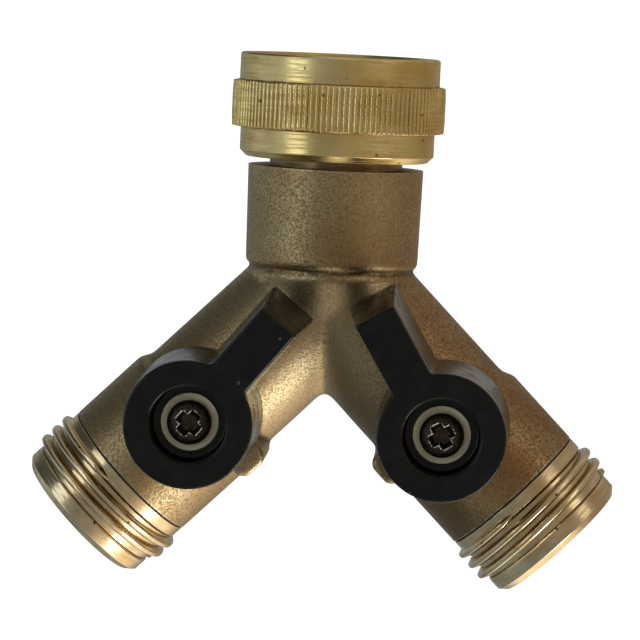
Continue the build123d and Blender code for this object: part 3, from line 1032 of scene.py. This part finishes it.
def knurl_recipe() -> NodeRecipe:
    """Straight ridges round a band, each a little different at its ends."""
    recipe = NodeRecipe(
        "straight knurl",
        {"Ridges": 120, "Radius": 16.7, "Length": 7.0, "Middle": 0.0, "Rise": 0.36,
         "Half Width": 0.38, "Seed": 5},
    )
    board, given = recipe.board, recipe.given
    circle = board.add(
        "GeometryNodeMeshCircle", None, Vertices=given["Ridges"], Radius=given["Radius"],
    )
    ridge = board.add("GeometryNodeMeshCylinder", {"fill_type": "NGON"}, Vertices=10,
                      Side_Segments=4, Radius=1.0, Depth=1.0)
    position = board.add("GeometryNodeInputPosition").outputs[0]
    x, y, z = board.separate_xyz(position)
    pinch = board.stretch(board.math("ABSOLUTE", z), 0.3, 0.5, (1.0, 0.72))
    shaped = board.add(
        "GeometryNodeSetPosition", None, Geometry=ridge.outputs["Mesh"],
        Position=board.combine_xyz(
            board.math("MULTIPLY", board.math("MULTIPLY", x, given["Rise"]), pinch),
            board.math("MULTIPLY", board.math("MULTIPLY", y, given["Half Width"]), pinch),
            board.math("MULTIPLY", z, given["Length"]),
        ),
    )
    outwards = board.add("FunctionNodeAlignRotationToVector", {"axis": "X"}, Vector=position)
    length = board.add("FunctionNodeRandomValue", {"data_type": "FLOAT"}, Seed=given["Seed"])
    rise = board.add("FunctionNodeRandomValue", {"data_type": "FLOAT"},
                     Seed=board.math("ADD", given["Seed"], 1))
    for node, low, high in ((length, 0.955, 1.0), (rise, 0.86, 1.0)):
        node.inputs[2].default_value, node.inputs[3].default_value = low, high
    scale = board.combine_xyz(rise.outputs[1], 1.0, length.outputs[1])
    placed_ridges = board.add(
        "GeometryNodeInstanceOnPoints", None, Points=circle.outputs[0],
        Instance=shaped.outputs[0], Rotation=outwards.outputs[0], Scale=scale,
    )
    lifted = board.add("GeometryNodeTransform", None, Geometry=placed_ridges.outputs[0],
                       Translation=board.combine_xyz(0.0, 0.0, given["Middle"]))
    recipe.close(lifted.outputs[0])
    return recipe


def thread_recipe() -> NodeRecipe:
    """One ridge of a right-hand screw thread, which sinks into its root at both ends."""
    recipe = NodeRecipe(
        "screw thread",
        {"Turns": 3.0, "Pitch": 2.209, "Root Radius": 12.1, "Depth": 1.35, "Start": 0.0,
         "Base Width": 1.9, "Crest Width": 0.75, "Crest Rounding": 0.3, "Ease": 0.04},
    )
    board, given = recipe.board, recipe.given
    spiral = board.add(
        "GeometryNodeCurveSpiral", None, Resolution=144, Rotations=given["Turns"],
        Start_Radius=given["Root Radius"], End_Radius=given["Root Radius"],
        Height=board.math("MULTIPLY", given["Turns"], given["Pitch"]), Reverse=True,
    )
    along = board.add("GeometryNodeSplineParameter").outputs["Factor"]
    to_end = board.math("MINIMUM", along, board.math("SUBTRACT", 1.0, along))
    ease = board.add("ShaderNodeMapRange", {"interpolation_type": "SMOOTHSTEP"}, Value=to_end,
                     From_Min=0.0, From_Max=given["Ease"], To_Min=0.05, To_Max=1.0)
    upright = board.add("GeometryNodeSetCurveNormal", {"mode": "Z_UP"}, Curve=spiral.outputs[0])
    section = board.add(
        "GeometryNodeCurvePrimitiveQuadrilateral", {"mode": "TRAPEZOID"},
        Height=board.math("ABSOLUTE", given["Depth"]), Bottom_Width=given["Base Width"],
        Top_Width=given["Crest Width"], Offset=0.0,
    )
    half = board.math("MULTIPLY", given["Depth"], 0.5)
    flip = board.math("SIGN", given["Depth"])
    raised = board.add(
        "GeometryNodeTransform", None, Geometry=section.outputs[0],
        Scale=board.combine_xyz(1.0, flip, 1.0), Translation=board.combine_xyz(0.0, half, 0.0),
    )
    turned = board.add(
        "GeometryNodeTransform", None, Geometry=raised.outputs[0], Rotation=(0.0, 0.0, -pi / 2),
    )
    eased = board.add("GeometryNodeFilletCurve", {"mode": "POLY"}, Curve=turned.outputs[0],
                      Count=3, Radius=given["Crest Rounding"], Limit_Radius=True)
    ridge = board.add("GeometryNodeCurveToMesh", None, Curve=upright.outputs[0],
                      Profile_Curve=eased.outputs[0], Scale=ease.outputs[0], Fill_Caps=True)
    lifted = board.add("GeometryNodeTransform", None, Geometry=ridge.outputs[0],
                       Translation=board.combine_xyz(0.0, 0.0, given["Start"]))
    recipe.close(lifted.outputs[0])
    return recipe


# ---- Pieces --------------------------------------------------------------------------------
@dataclass
class SwivelNut:
    """The turned nut: two plain lands, a knurled band between them, and a female thread."""

    bottom: float = -7.0
    top: float = 9.5
    knurl_bottom: float = -2.3
    knurl_top: float = 5.1
    low_radius: float = 15.5
    knurl_radius: float = 17.05
    high_radius: float = 15.95
    thread_radius: float = 12.45
    thread_root: float = 13.5
    rear_wall: float = 2.2
    rear_hole: float = 10.9
    ridges: int = 120
    ridge_rise: float = 0.34

    def build(self, knurl: NodeRecipe, thread: NodeRecipe) -> None:
        """Turn the nut, add its knurl and its thread, and dress it."""
        material = NUT_BRASS.material()
        valley = self.knurl_radius - self.ridge_rise
        relief_floor = self.bottom + self.rear_wall
        profile = rounded_profile([
            Corner(self.rear_hole, self.bottom, 0.15),
            Corner(self.low_radius - 1.0, self.bottom, 0.2),
            Corner(self.low_radius, self.bottom + 1.0, 0.2),
            Corner(self.low_radius, self.knurl_bottom, 0.12),
            Corner(valley - 0.25, self.knurl_bottom, 0.1),
            Corner(valley, self.knurl_bottom + 0.25, 0.1),
            Corner(valley, self.knurl_top - 0.25, 0.1), Corner(valley - 0.25, self.knurl_top, 0.1),
            Corner(self.high_radius, self.knurl_top, 0.12),
            Corner(self.high_radius, self.top - 0.3, 0.12),
            Corner(self.high_radius - 0.3, self.top, 0.12),
            Corner(self.thread_root + 0.5, self.top, 0.15),
            Corner(self.thread_root, self.top - 1.0, 0.1), Corner(self.thread_root, 0.0, 0.1),
            Corner(self.thread_radius + 0.45, -0.2, 0.1),
            Corner(self.thread_radius + 0.45, relief_floor, 0.2),
            Corner(self.rear_hole, relief_floor, 0.15),
        ])
        body = lathe("nut_blank", profile, segments=288)
        middle = (self.knurl_bottom + self.knurl_top) / 2
        ridges = knurl.run(
            "nut_ridges", UPRIGHT, material, Ridges=self.ridges, Radius=valley - 0.02,
            Length=self.knurl_top - self.knurl_bottom - 0.1, Middle=middle,
            Rise=self.ridge_rise + 0.02, Half_Width=0.37, Seed=7,
        )
        wound = thread.run(
            "nut_thread", UPRIGHT, material, Turns=3.4, Root_Radius=self.thread_root + 0.05,
            Depth=self.thread_radius - self.thread_root - 0.05, Start=0.5,
        )
        nut = fuse("swivel_nut_visual", [body, ridges, wound])
        mark_curvature(nut, 0.35, 1)
        finished(nut, material, "swivel_nut", "turned_brass", "swivel_nut")


@dataclass
class Tailpiece:
    """The flanged tube that the nut swivels on, and the washer on its face."""

    flange_radius: float = 12.1
    flange_top: float = -3.25
    flange_bottom: float = -4.7
    shank_radius: float = 10.6
    shank_end: float = -18.3
    bore: float = 8.0
    washer_radius: float = 12.7
    washer_bore: float = 7.95
    washer_bottom: float = -3.2

    def build(self) -> None:
        """Turn and dress both pieces."""
        tail = lathe(
            "inlet_tailpiece_visual",
            rounded_profile([
                Corner(self.bore, self.shank_end, 0.2),
                Corner(self.shank_radius, self.shank_end, 0.3),
                Corner(self.shank_radius, self.flange_bottom, 0.15),
                Corner(self.flange_radius, self.flange_bottom, 0.2),
                Corner(self.flange_radius, self.flange_top, 0.2),
                Corner(self.bore, self.flange_top, 0.2),
            ]),
        )
        mark_curvature(tail)
        # The tailpiece's finish is brass painted dark as shade.
        finished(tail, SHADED_TAIL_BRASS.material(), "fork_body", "turned_brass", "inlet_tailpiece")
        washer = lathe(
            "inlet_washer_visual",
            rounded_profile([
                Corner(self.washer_bore, self.washer_bottom, 0.3),
                Corner(self.washer_radius, self.washer_bottom, 0.3),
                Corner(self.washer_radius, 0.0, 0.3), Corner(self.washer_bore, 0.0, 0.3),
            ]),
        )
        mark_curvature(washer)
        finished(washer, BLACK_RUBBER.material(), "swivel_nut", "black_rubber", "inlet_washer")


@dataclass
class ForkCasting:
    """The forked casting: neck, core, two legs, stem bosses and stop lugs."""

    neck_top: float = -8.3
    neck_top_radius: float = 14.0
    neck_foot: float = -23.9
    neck_foot_radius: float = 13.75
    core_radius: float = 13.35
    core_end: float = -34.4
    core_end_radius: float = 10.4
    leg_radius: float = 11.55
    cone_start: float = 28.2
    barrel_start: float = 30.0
    barrel_radius: float = 12.5
    leg_end: float = 43.3
    boss_radius: float = 6.8
    boss_top: float = 17.0
    lug_out: float = 12.8
    lug_width: float = 5.6
    lug_top: float = 14.6
    lug_shift: float = 0.9
    lug_chamfer: float = 1.0
    overrun: float = 1.5
    tail_bore: float = 10.65
    tail_floor: float = -18.35
    duct: float = 8.0
    duct_end: float = -24.0
    duct_tip: float = -28.0
    bore: float = 7.0
    bore_start: float = 4.0
    bore_full: float = 7.0
    chamber: float = 9.2
    socket: float = 10.4
    stem_hole: float = 4.05
    stem_hole_start: float = 5.0
    stem_hole_end: float = 20.0
    facing_radius: float = 20.0
    facing_depth: float = 4.0
    leg_root: float = -6.0
    leg_root_step: float = 2.5
    crotch: float = -44.0
    crotch_reach: float = 5.0
    voxel: float = 0.4

    def _leg(self, side: Side) -> list[bpy.types.Object]:
        """One leg's outside, with its boss and its lug."""
        leg = lathe(
            "leg",
            np.array([
                (0.0, self.leg_root), (self.leg_radius - self.leg_root_step, self.leg_root),
                (self.leg_radius, 0.0),
                (self.leg_radius, self.cone_start), (self.barrel_radius, self.barrel_start),
                (self.barrel_radius, self.leg_end + self.overrun),
                (0.0, self.leg_end + self.overrun),
            ]),
            LAYOUT.leg_place(side), 128,
        )
        boss = lathe(
            "boss",
            np.array([(0.0, 0.0), (self.boss_radius, 0.0), (self.boss_radius, self.boss_top),
                      (0.0, self.boss_top)]),
            LAYOUT.boss_place(side),
            96,
        )
        way = -side.value
        half, clip = self.lug_width / 2, self.lug_chamfer
        outline = np.array([
            (-half, 0.0), (half, 0.0), (half, way * (self.lug_out - clip)),
            (half - clip, way * self.lug_out), (clip - half, way * self.lug_out),
            (-half, way * (self.lug_out - clip)),
        ]) - (self.lug_shift, 0.0)
        lug = prism("lug", outline, outline, (0.0, self.lug_top), LAYOUT.boss_place(side))
        return [leg, boss, lug]

    def _cutters(self) -> list[bpy.types.Object]:
        """The machined faces and bores."""
        over_neck = self.neck_top + self.facing_depth
        over_leg = self.leg_end + self.facing_depth
        cutters = [lathe(
            "neck_cut",
            np.array([
                (0.0, over_neck), (self.facing_radius, over_neck),
                (self.facing_radius, self.neck_top), (self.tail_bore, self.neck_top),
                (self.tail_bore, self.tail_floor), (self.duct, self.tail_floor),
                (self.duct, self.duct_end), (0.0, self.duct_tip),
            ]),
            segments=128,
        )]
        for side in Side:
            place = LAYOUT.leg_place(side)
            start = LAYOUT.valve_t - LAYOUT.chamber_half
            end = LAYOUT.valve_t + LAYOUT.chamber_half
            cutters.append(lathe(
                "leg_cut",
                np.array([
                    (0.0, self.bore_start), (self.bore, self.bore_full), (self.bore, start),
                    (self.chamber, start), (self.chamber, end), (self.socket, end),
                    (self.socket, self.leg_end), (self.facing_radius, self.leg_end),
                    (self.facing_radius, over_leg), (0.0, over_leg),
                ]),
                place, 128,
            ))
            cutters.append(lathe(
                "stem_cut",
                np.array([
                    (0.0, self.stem_hole_start), (self.stem_hole, self.stem_hole_start),
                    (self.stem_hole, self.stem_hole_end), (0.0, self.stem_hole_end),
                ]),
                LAYOUT.boss_place(side), 64,
            ))
        return cutters

    def build(self) -> None:
        """Cast, fettle and machine the body, and dress it."""
        neck = lathe(
            "neck",
            rounded_profile([
                Corner(0.0, self.neck_top + self.overrun),
                Corner(self.neck_top_radius, self.neck_top + self.overrun),
                Corner(self.neck_top_radius, self.neck_top),
                Corner(self.neck_foot_radius, self.neck_foot + 0.2, 0.2),
                Corner(self.core_radius - 0.6, self.neck_foot - 0.4, 0.15),
                Corner(self.core_radius + 0.1, self.neck_foot - 1.4, 0.5),
                Corner(self.core_end_radius, self.core_end, 1.0), Corner(0.0, self.core_end),
            ]),
            segments=160,
        )
        solids = [neck, *self._leg(Side.LEFT), *self._leg(Side.RIGHT)]
        casting = fuse("body_casting_visual", solids)
        weave_skin(casting, self.voxel)
        points = read_vectors(casting.data)
        across = points[:, 0] / self.crotch_reach
        above = (points[:, 2] - self.crotch) / self.crotch_reach
        near_crotch = np.exp(-(across ** 2 + above ** 2))
        relax(casting, 5, 0.5)
        relax(casting, 60, 0.5 * near_crotch)
        combine(casting, self._cutters())
        casting.data.shade_smooth()
        casting.data.set_sharp_from_angle(angle=radians(50))
        mark_curvature(casting, 1.2, 2)
        finished(casting, CASTING.material(), "fork_body", "cast_brass", "body_casting")


@dataclass
class OutletEnd:
    """A male hose end screwed into a leg, and the thin seal in the seam before it."""

    side: Side
    seam: float = 43.3
    seal: float = 0.3
    seal_radius: float = 12.2
    socket: float = 10.4
    shank_radius: float = 10.35
    band_radius: float = 12.45
    thread_start: float = 45.6
    thread_crest: float = 13.45
    thread_root: float = 12.05
    pilot_radius: float = 12.35
    pilot_start: float = 51.6
    end: float = 54.7
    bore: float = 7.0
    mouth: float = 8.2

    def build(self, thread: NodeRecipe) -> None:
        """Turn the end, wind its thread, and dress both pieces."""
        place = LAYOUT.leg_place(self.side)
        material = OUTLET_BRASS.material(place)
        inner = LAYOUT.valve_t + LAYOUT.chamber_half
        seat = self.seam + self.seal
        blank = lathe(
            "outlet_blank",
            rounded_profile([
                Corner(self.bore, inner, 0.15), Corner(self.shank_radius, inner, 0.2),
                Corner(self.shank_radius, seat, 0.1), Corner(self.band_radius, seat, 0.12),
                Corner(self.band_radius, self.thread_start - 0.1, 0.12),
                Corner(self.thread_root, self.thread_start + 0.25, 0.1),
                Corner(self.thread_root, self.pilot_start - 0.2, 0.1),
                Corner(self.pilot_radius, self.pilot_start + 0.1, 0.12),
                Corner(self.pilot_radius, self.end - 1.0, 0.25),
                Corner(self.pilot_radius - 1.0, self.end, 0.25), Corner(self.mouth, self.end, 0.2),
                Corner(self.bore, self.end - 1.2, 0.2),
            ]),
            place, 256,
        )
        wound = thread.run(
            "outlet_thread", place, material, Turns=2.75, Root_Radius=self.thread_root - 0.05,
            Depth=self.thread_crest - self.thread_root + 0.05, Start=self.thread_start - 0.3,
            Base_Width=1.95, Crest_Width=0.7, Crest_Rounding=0.28, Ease=0.02,
        )
        name = f"{self.side.label}_outlet_end"
        end = fuse(f"{name}_visual", [blank, wound])
        mark_curvature(end, 0.5, 1)
        finished(end, material, "fork_body", "outlet_brass", name)
        seal = lathe(
            f"{self.side.label}_outlet_seal_visual",
            rounded_profile([
                Corner(self.socket, self.seam, 0.05), Corner(self.seal_radius, self.seam, 0.1),
                Corner(self.seal_radius, seat, 0.1), Corner(self.socket, seat, 0.05),
            ]),
            place,
        )
        mark_curvature(seal)
        finished(seal, BLACK_RUBBER.material(), "fork_body", "black_rubber",
                 f"{self.side.label}_outlet_seal")


@dataclass
class Lever:
    """A moulded lever with its washer and its screw."""

    side: Side
    hub_base: float = 13.4
    hub_face: float = 31.4
    hub_base_radius: float = 10.5
    hub_face_radius: float = 9.95
    recess_radius: float = 7.1
    recess_top: float = 17.3
    well_radius: float = 5.95
    well_floor: float = 25.8
    arm_underside: float = 14.3
    arm_length: float = 23.5
    arm_top_length: float = 21.2
    arm_top_width: float = 6.7
    arm_base_width: float = 8.3
    drive_square: float = 5.7
    socket_top: float = 24.4
    notch_inner: float = 8.0
    notch_top: float = 15.0
    notch_start: float = 64.7
    notch_sweep: float = 127.4
    screw_clear: float = 2.2
    washer_radius: float = 4.5
    washer_thick: float = 0.8
    head_radius: float = 3.45
    head_rim: float = 1.0
    head_height: float = 2.4
    screw_radius: float = 1.97
    screw_tip: float = 15.6
    cross_span: float = 4.4
    cross_wing: float = 1.6
    cross_depth: float = 1.7
    arm_start: float = 6.8
    voxel: float = 0.2
    screw_voxel: float = 0.09

    def _arm(self) -> bpy.types.Object:
        """The arm: a flat top, with sides and an end that draft outwards to its underside."""
        base, top = self.arm_base_width / 2, self.arm_top_width / 2
        lower = np.array([(self.arm_start, -base), (self.arm_length, -base),
                          (self.arm_length, base), (self.arm_start, base)])
        upper = np.array([(self.arm_start, -top), (self.arm_top_length, -top),
                          (self.arm_top_length, top), (self.arm_start, top)])
        return prism("arm", lower, upper, (self.arm_underside, self.hub_face))

    def _moulding(self) -> bpy.types.Object:
        """The lever's moulding in its own frame, with soft corners."""
        hub = lathe(
            "hub",
            np.array([
                (self.recess_radius, self.hub_base), (self.hub_base_radius, self.hub_base),
                (self.hub_face_radius, self.hub_face), (self.well_radius, self.hub_face),
                (self.well_radius, self.well_floor), (self.screw_clear, self.well_floor),
                (self.screw_clear, self.recess_top), (self.recess_radius, self.recess_top),
            ]),
            segments=160,
        )
        moulding = fuse(f"{self.side.label}_lever_visual", [hub, self._arm()])
        weave_skin(moulding, self.voxel)
        relax(moulding, 12, 0.5)
        over = 1.0
        notch = arc_outline(
            self.notch_inner, self.hub_base_radius + over,
            self.side.value * self.notch_start, self.side.value * self.notch_sweep,
        )
        square = rectangle(self.drive_square, self.drive_square)
        combine(moulding, [
            prism("socket", square, square, (self.recess_top - over, self.socket_top)),
            prism("notch", notch, notch, (self.hub_base - over, self.notch_top)),
        ])
        moulding.data.shade_smooth()
        moulding.data.set_sharp_from_angle(angle=radians(55))
        return moulding

    def _cross(self, shrink: tuple[float, float]) -> np.ndarray:
        """The outline of the screw's cross recess.

        Args:
            shrink: How much of the full span and of the full wing width there is.

        Returns:
            Rows of x and y.
        """
        reach, half = self.cross_span / 2 * shrink[0], self.cross_wing / 2 * shrink[1]
        quarter = np.array([(reach, -half), (reach, half), (half, half)])
        turns = [np.array([(cos(a), sin(a)), (-sin(a), cos(a))])
                 for a in (0.0, pi / 2, pi, 3 * pi / 2)]
        return np.vstack([quarter @ turn for turn in turns])

    def _screw(self) -> bpy.types.Object:
        """The pan-head screw with its cross recess, in the lever's frame."""
        seat = self.well_floor + self.washer_thick
        rim, top = seat + self.head_rim, seat + self.head_height
        dome = [
            (self.head_radius * sin(angle), rim + (top - rim) * cos(angle))
            for angle in np.linspace(pi / 2, 0, 12)[1:-1]
        ]
        profile = np.array([
            (0.0, self.screw_tip), (self.screw_radius - 0.5, self.screw_tip),
            (self.screw_radius, self.screw_tip + 0.6), (self.screw_radius, seat),
            (self.head_radius - 0.1, seat), (self.head_radius, seat + 0.15),
            (self.head_radius, rim), *dome, (0.0, top),
        ])
        screw = lathe(f"{self.side.label}_lever_screw_visual", profile, segments=96)
        over = 0.2
        recess = prism("recess", self._cross((0.6, 0.8)), self._cross((1.03, 1.25)),
                       (top - self.cross_depth, top + over))
        combine(screw, [recess])
        weave_skin(screw, self.screw_voxel)
        relax(screw, 6, 0.5)
        screw.data.shade_smooth()
        return screw

    def build(self) -> None:
        """Mould the lever, make its washer and its screw, and dress all three."""
        label, place = self.side.label, LAYOUT.lever_place(self.side)
        lever = self._moulding()
        lever.data.transform(place)
        mark_curvature(lever, 0.5, 1)
        finished(lever, LEVER_PLASTIC.material(), self.side.valve_body, "lever_plastic",
                 f"{label}_lever")
        washer = lathe(
            f"{label}_lever_washer_visual",
            rounded_profile([
                Corner(self.screw_clear, self.well_floor, 0.1),
                Corner(self.washer_radius, self.well_floor, 0.15),
                Corner(self.washer_radius, self.well_floor + self.washer_thick, 0.18),
                Corner(self.screw_clear, self.well_floor + self.washer_thick, 0.1),
            ]),
            place, 128,
        )
        mark_curvature(washer)
        finished(washer, BEIGE_WASHER.material(), self.side.valve_body, "beige_washer",
                 f"{label}_lever_washer")
        screw = self._screw()
        screw.data.transform(place)
        mark_curvature(screw, 0.25, 1)
        finished(screw, SCREW_STEEL.material(), self.side.valve_body, "screw_steel",
                 f"{label}_lever_screw")


def dress_hidden_nodes() -> None:
    """Give every CAD node that still shows its own finish."""
    finishes = {
        "ball": CHROMED.material(), "stem": STEM_BRASS.material(),
        "stem_o_rings": BLACK_RUBBER.material(), "inner_seat": WHITE_SEAT.material(),
        "outer_seat": WHITE_SEAT.material(), "thrust_washer": WHITE_SEAT.material(),
    }
    for side in Side:
        for part, material in finishes.items():
            dress(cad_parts[f"{side.label}_{part}"], material)
    LOG.info("dressed %d carried-over nodes", 2 * len(finishes))


# ---- Stage ---------------------------------------------------------------------------------
@dataclass(frozen=True)
class AreaLamp:
    """A soft rectangular lamp: where it stands and its size in metres, and how strong it is."""

    name: str
    place: tuple[float, float, float]
    size: tuple[float, float]
    watts: float
    colour: Colour = (1.0, 1.0, 1.0)

    def build(self, target: Vector) -> None:
        """Put the lamp up, facing a point."""
        light = bpy.data.lights.new(self.name, "AREA")
        light.shape = "RECTANGLE"
        light.size, light.size_y = self.size
        light.energy = self.watts
        light.color = self.colour
        lamp = bpy.data.objects.new(self.name, light)
        lamp.location = self.place
        lamp.visible_camera = False
        lamp.rotation_euler = (target - Vector(self.place)).to_track_quat("-Z", "Y").to_euler()
        bpy.context.scene.collection.objects.link(lamp)


@dataclass(frozen=True)
class RoomPatch:
    """A part of the room that is darker or brighter than the rest.

    Each pair runs from where the patch starts to where it is full, along the direction's
    sideways and upward numbers.
    """

    across: tuple[float, float]
    height: tuple[float, float]
    factor: float


@dataclass
class Studio:
    """The backdrop, the soft lamps, the surrounding light and the camera.

    The camera's target and distance are millimetres. The floor, the sheet and the lamps are
    metres.
    """

    target: tuple[float, float] = (-1.4, -32.93)
    lamp_aim: tuple[float, float, float] = (0.0, 0.0, -0.035)
    distance: float = 620.0
    azimuth: float = 2.8
    elevation: float = 5.0
    roll: float = 2.68
    lens: float = 217.4625
    sensor: float = 36.0
    floor_height: float = -1.0
    sheet_bend: float = 2.0
    sheet_radius: float = 1.5
    sheet_top: float = 12.0
    sheet_sides: int = 64
    room_light: float = 0.55
    window_tint: Colour = (0.84, 0.96, 1.0)
    room_tint: Colour = (1.0, 0.87, 0.68)
    patches: tuple[RoomPatch, ...] = (
        RoomPatch((-0.05, -0.6), (-0.1, -0.6), 0.6), RoomPatch((-0.1, -0.6), (0.15, 0.6), 0.15),
        RoomPatch((-0.3, 0.15), (-0.3, -0.85), 2.8), RoomPatch((0.45, 0.95), (-0.5, -0.2), 0.65),
    )
    lamps: tuple[AreaLamp, ...] = (
        AreaLamp("left window", (-0.60, -0.58, 0.12), (0.35, 0.6), 0.9, (0.86, 0.97, 1.0)),
        AreaLamp("low right", (0.42, -0.22, -0.45), (0.3, 0.3), 2.0, (0.88, 0.98, 1.0)),
        AreaLamp("high right", (0.6, -0.35, 0.3), (0.25, 0.4), 0.3, (1.0, 0.93, 0.8)),
    )

    def _camera(self) -> None:
        """Stand the camera where the splitter is seen from."""
        azimuth, elevation = radians(self.azimuth), radians(self.elevation)
        back = Vector((sin(azimuth) * cos(elevation), -cos(azimuth) * cos(elevation),
                       sin(elevation)))
        level = Vector((0.0, 0.0, 1.0)).cross(back).normalized()
        upright = back.cross(level)
        roll = radians(self.roll)
        right = level * cos(roll) + upright * sin(roll)
        above = upright * cos(roll) - level * sin(roll)
        target = Vector((self.target[0], 0.0, self.target[1]))
        data = bpy.data.cameras.new("camera")
        data.sensor_width = self.sensor
        data.lens = self.lens
        data.clip_start, data.clip_end = 0.01, 100.0
        camera = bpy.data.objects.new("camera", data)
        turn = Matrix((right, above, back)).transposed().to_4x4()
        camera.matrix_world = Matrix.Translation((target + back * self.distance) * MM) @ turn
        bpy.context.scene.collection.objects.link(camera)
        bpy.context.scene.camera = camera

    def _backdrop(self) -> None:
        """Hang the pale sheet that lies below the splitter and sweeps up all round it."""
        bend = [
            (self.sheet_bend + self.sheet_radius * sin(turn),
             self.floor_height + self.sheet_radius * (1.0 - cos(turn)))
            for turn in np.linspace(0.0, pi / 2, 17)
        ]
        edge = np.array([*bend, (bend[-1][0], self.sheet_top)])
        spokes = np.linspace(0.0, 2 * pi, self.sheet_sides, endpoint=False)
        rings = [(radius * cos(turn), radius * sin(turn), height)
                 for radius, height in edge for turn in spokes]
        count = self.sheet_sides
        faces = [tuple(range(count))]
        faces += [
            (ring * count + k, ring * count + (k + 1) % count,
             (ring + 1) * count + (k + 1) % count, (ring + 1) * count + k)
            for ring in range(len(edge) - 1) for k in range(count)
        ]
        mesh = bpy.data.meshes.new("backdrop")
        mesh.from_pydata(rings, [], faces)
        mesh.shade_smooth()
        sheet = new_object("backdrop", mesh)
        material = bpy.data.materials.new("pale sheet")
        material.use_nodes = True
        shader = material.node_tree.nodes["Principled BSDF"]
        shader.inputs["Base Color"].default_value = (0.9, 0.9, 0.9, 1.0)
        shader.inputs["Roughness"].default_value = 0.9
        shader.inputs["Emission Color"].default_value = (1.0, 1.0, 1.0, 1.0)
        shader.inputs["Emission Strength"].default_value = 0.8
        mesh.materials.append(material)
        sheet.visible_glossy = sheet.visible_diffuse = sheet.visible_shadow = False

    def _surroundings(self) -> None:
        """Fill the room with soft light."""
        world = bpy.data.worlds.new("room")
        world.use_nodes = True
        board = Board(world.node_tree)
        way = board.add("ShaderNodeTexCoord").outputs["Generated"]
        across, depth, height = board.separate_xyz(way)
        light = board.stretch(board.math("ABSOLUTE", depth), 0.3, 0.95, (1.0, 0.62))
        for patch in self.patches:
            inside = board.math("MULTIPLY", board.stretch(across, *patch.across),
                                board.stretch(height, *patch.height))
            light = board.math("MULTIPLY", light,
                               board.stretch(inside, 0.0, 1.0, (1.0, patch.factor)))
        background = world.node_tree.nodes["Background"]
        tint = board.blend(
            board.stretch(across, -0.5, 0.5), rgba(self.window_tint), rgba(self.room_tint),
        )
        board.tree.links.new(tint, background.inputs["Color"])
        board.tree.links.new(
            board.math("MULTIPLY", light, self.room_light), background.inputs["Strength"],
        )
        bpy.context.scene.world = world

    def build(self) -> None:
        """Set the stage."""
        self._camera()
        self._backdrop()
        self._surroundings()
        for lamp in self.lamps:
            lamp.build(Vector(self.lamp_aim))
        bpy.context.scene.view_settings.view_transform = "Standard"
        LOG.info("stage ready: %d lamps", len(self.lamps))


def main() -> None:
    """Build the splitter piece by piece and set the stage."""
    logging.basicConfig(level=logging.INFO, format="%(name)s: %(message)s")
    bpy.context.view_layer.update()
    knurl, thread = knurl_recipe(), thread_recipe()
    ForkCasting().build()
    SwivelNut().build(knurl, thread)
    Tailpiece().build()
    for side in Side:
        OutletEnd(side).build(thread)
        Lever(side).build()
    dress_hidden_nodes()
    Studio().build()


if __name__ == "__main__":
    main()
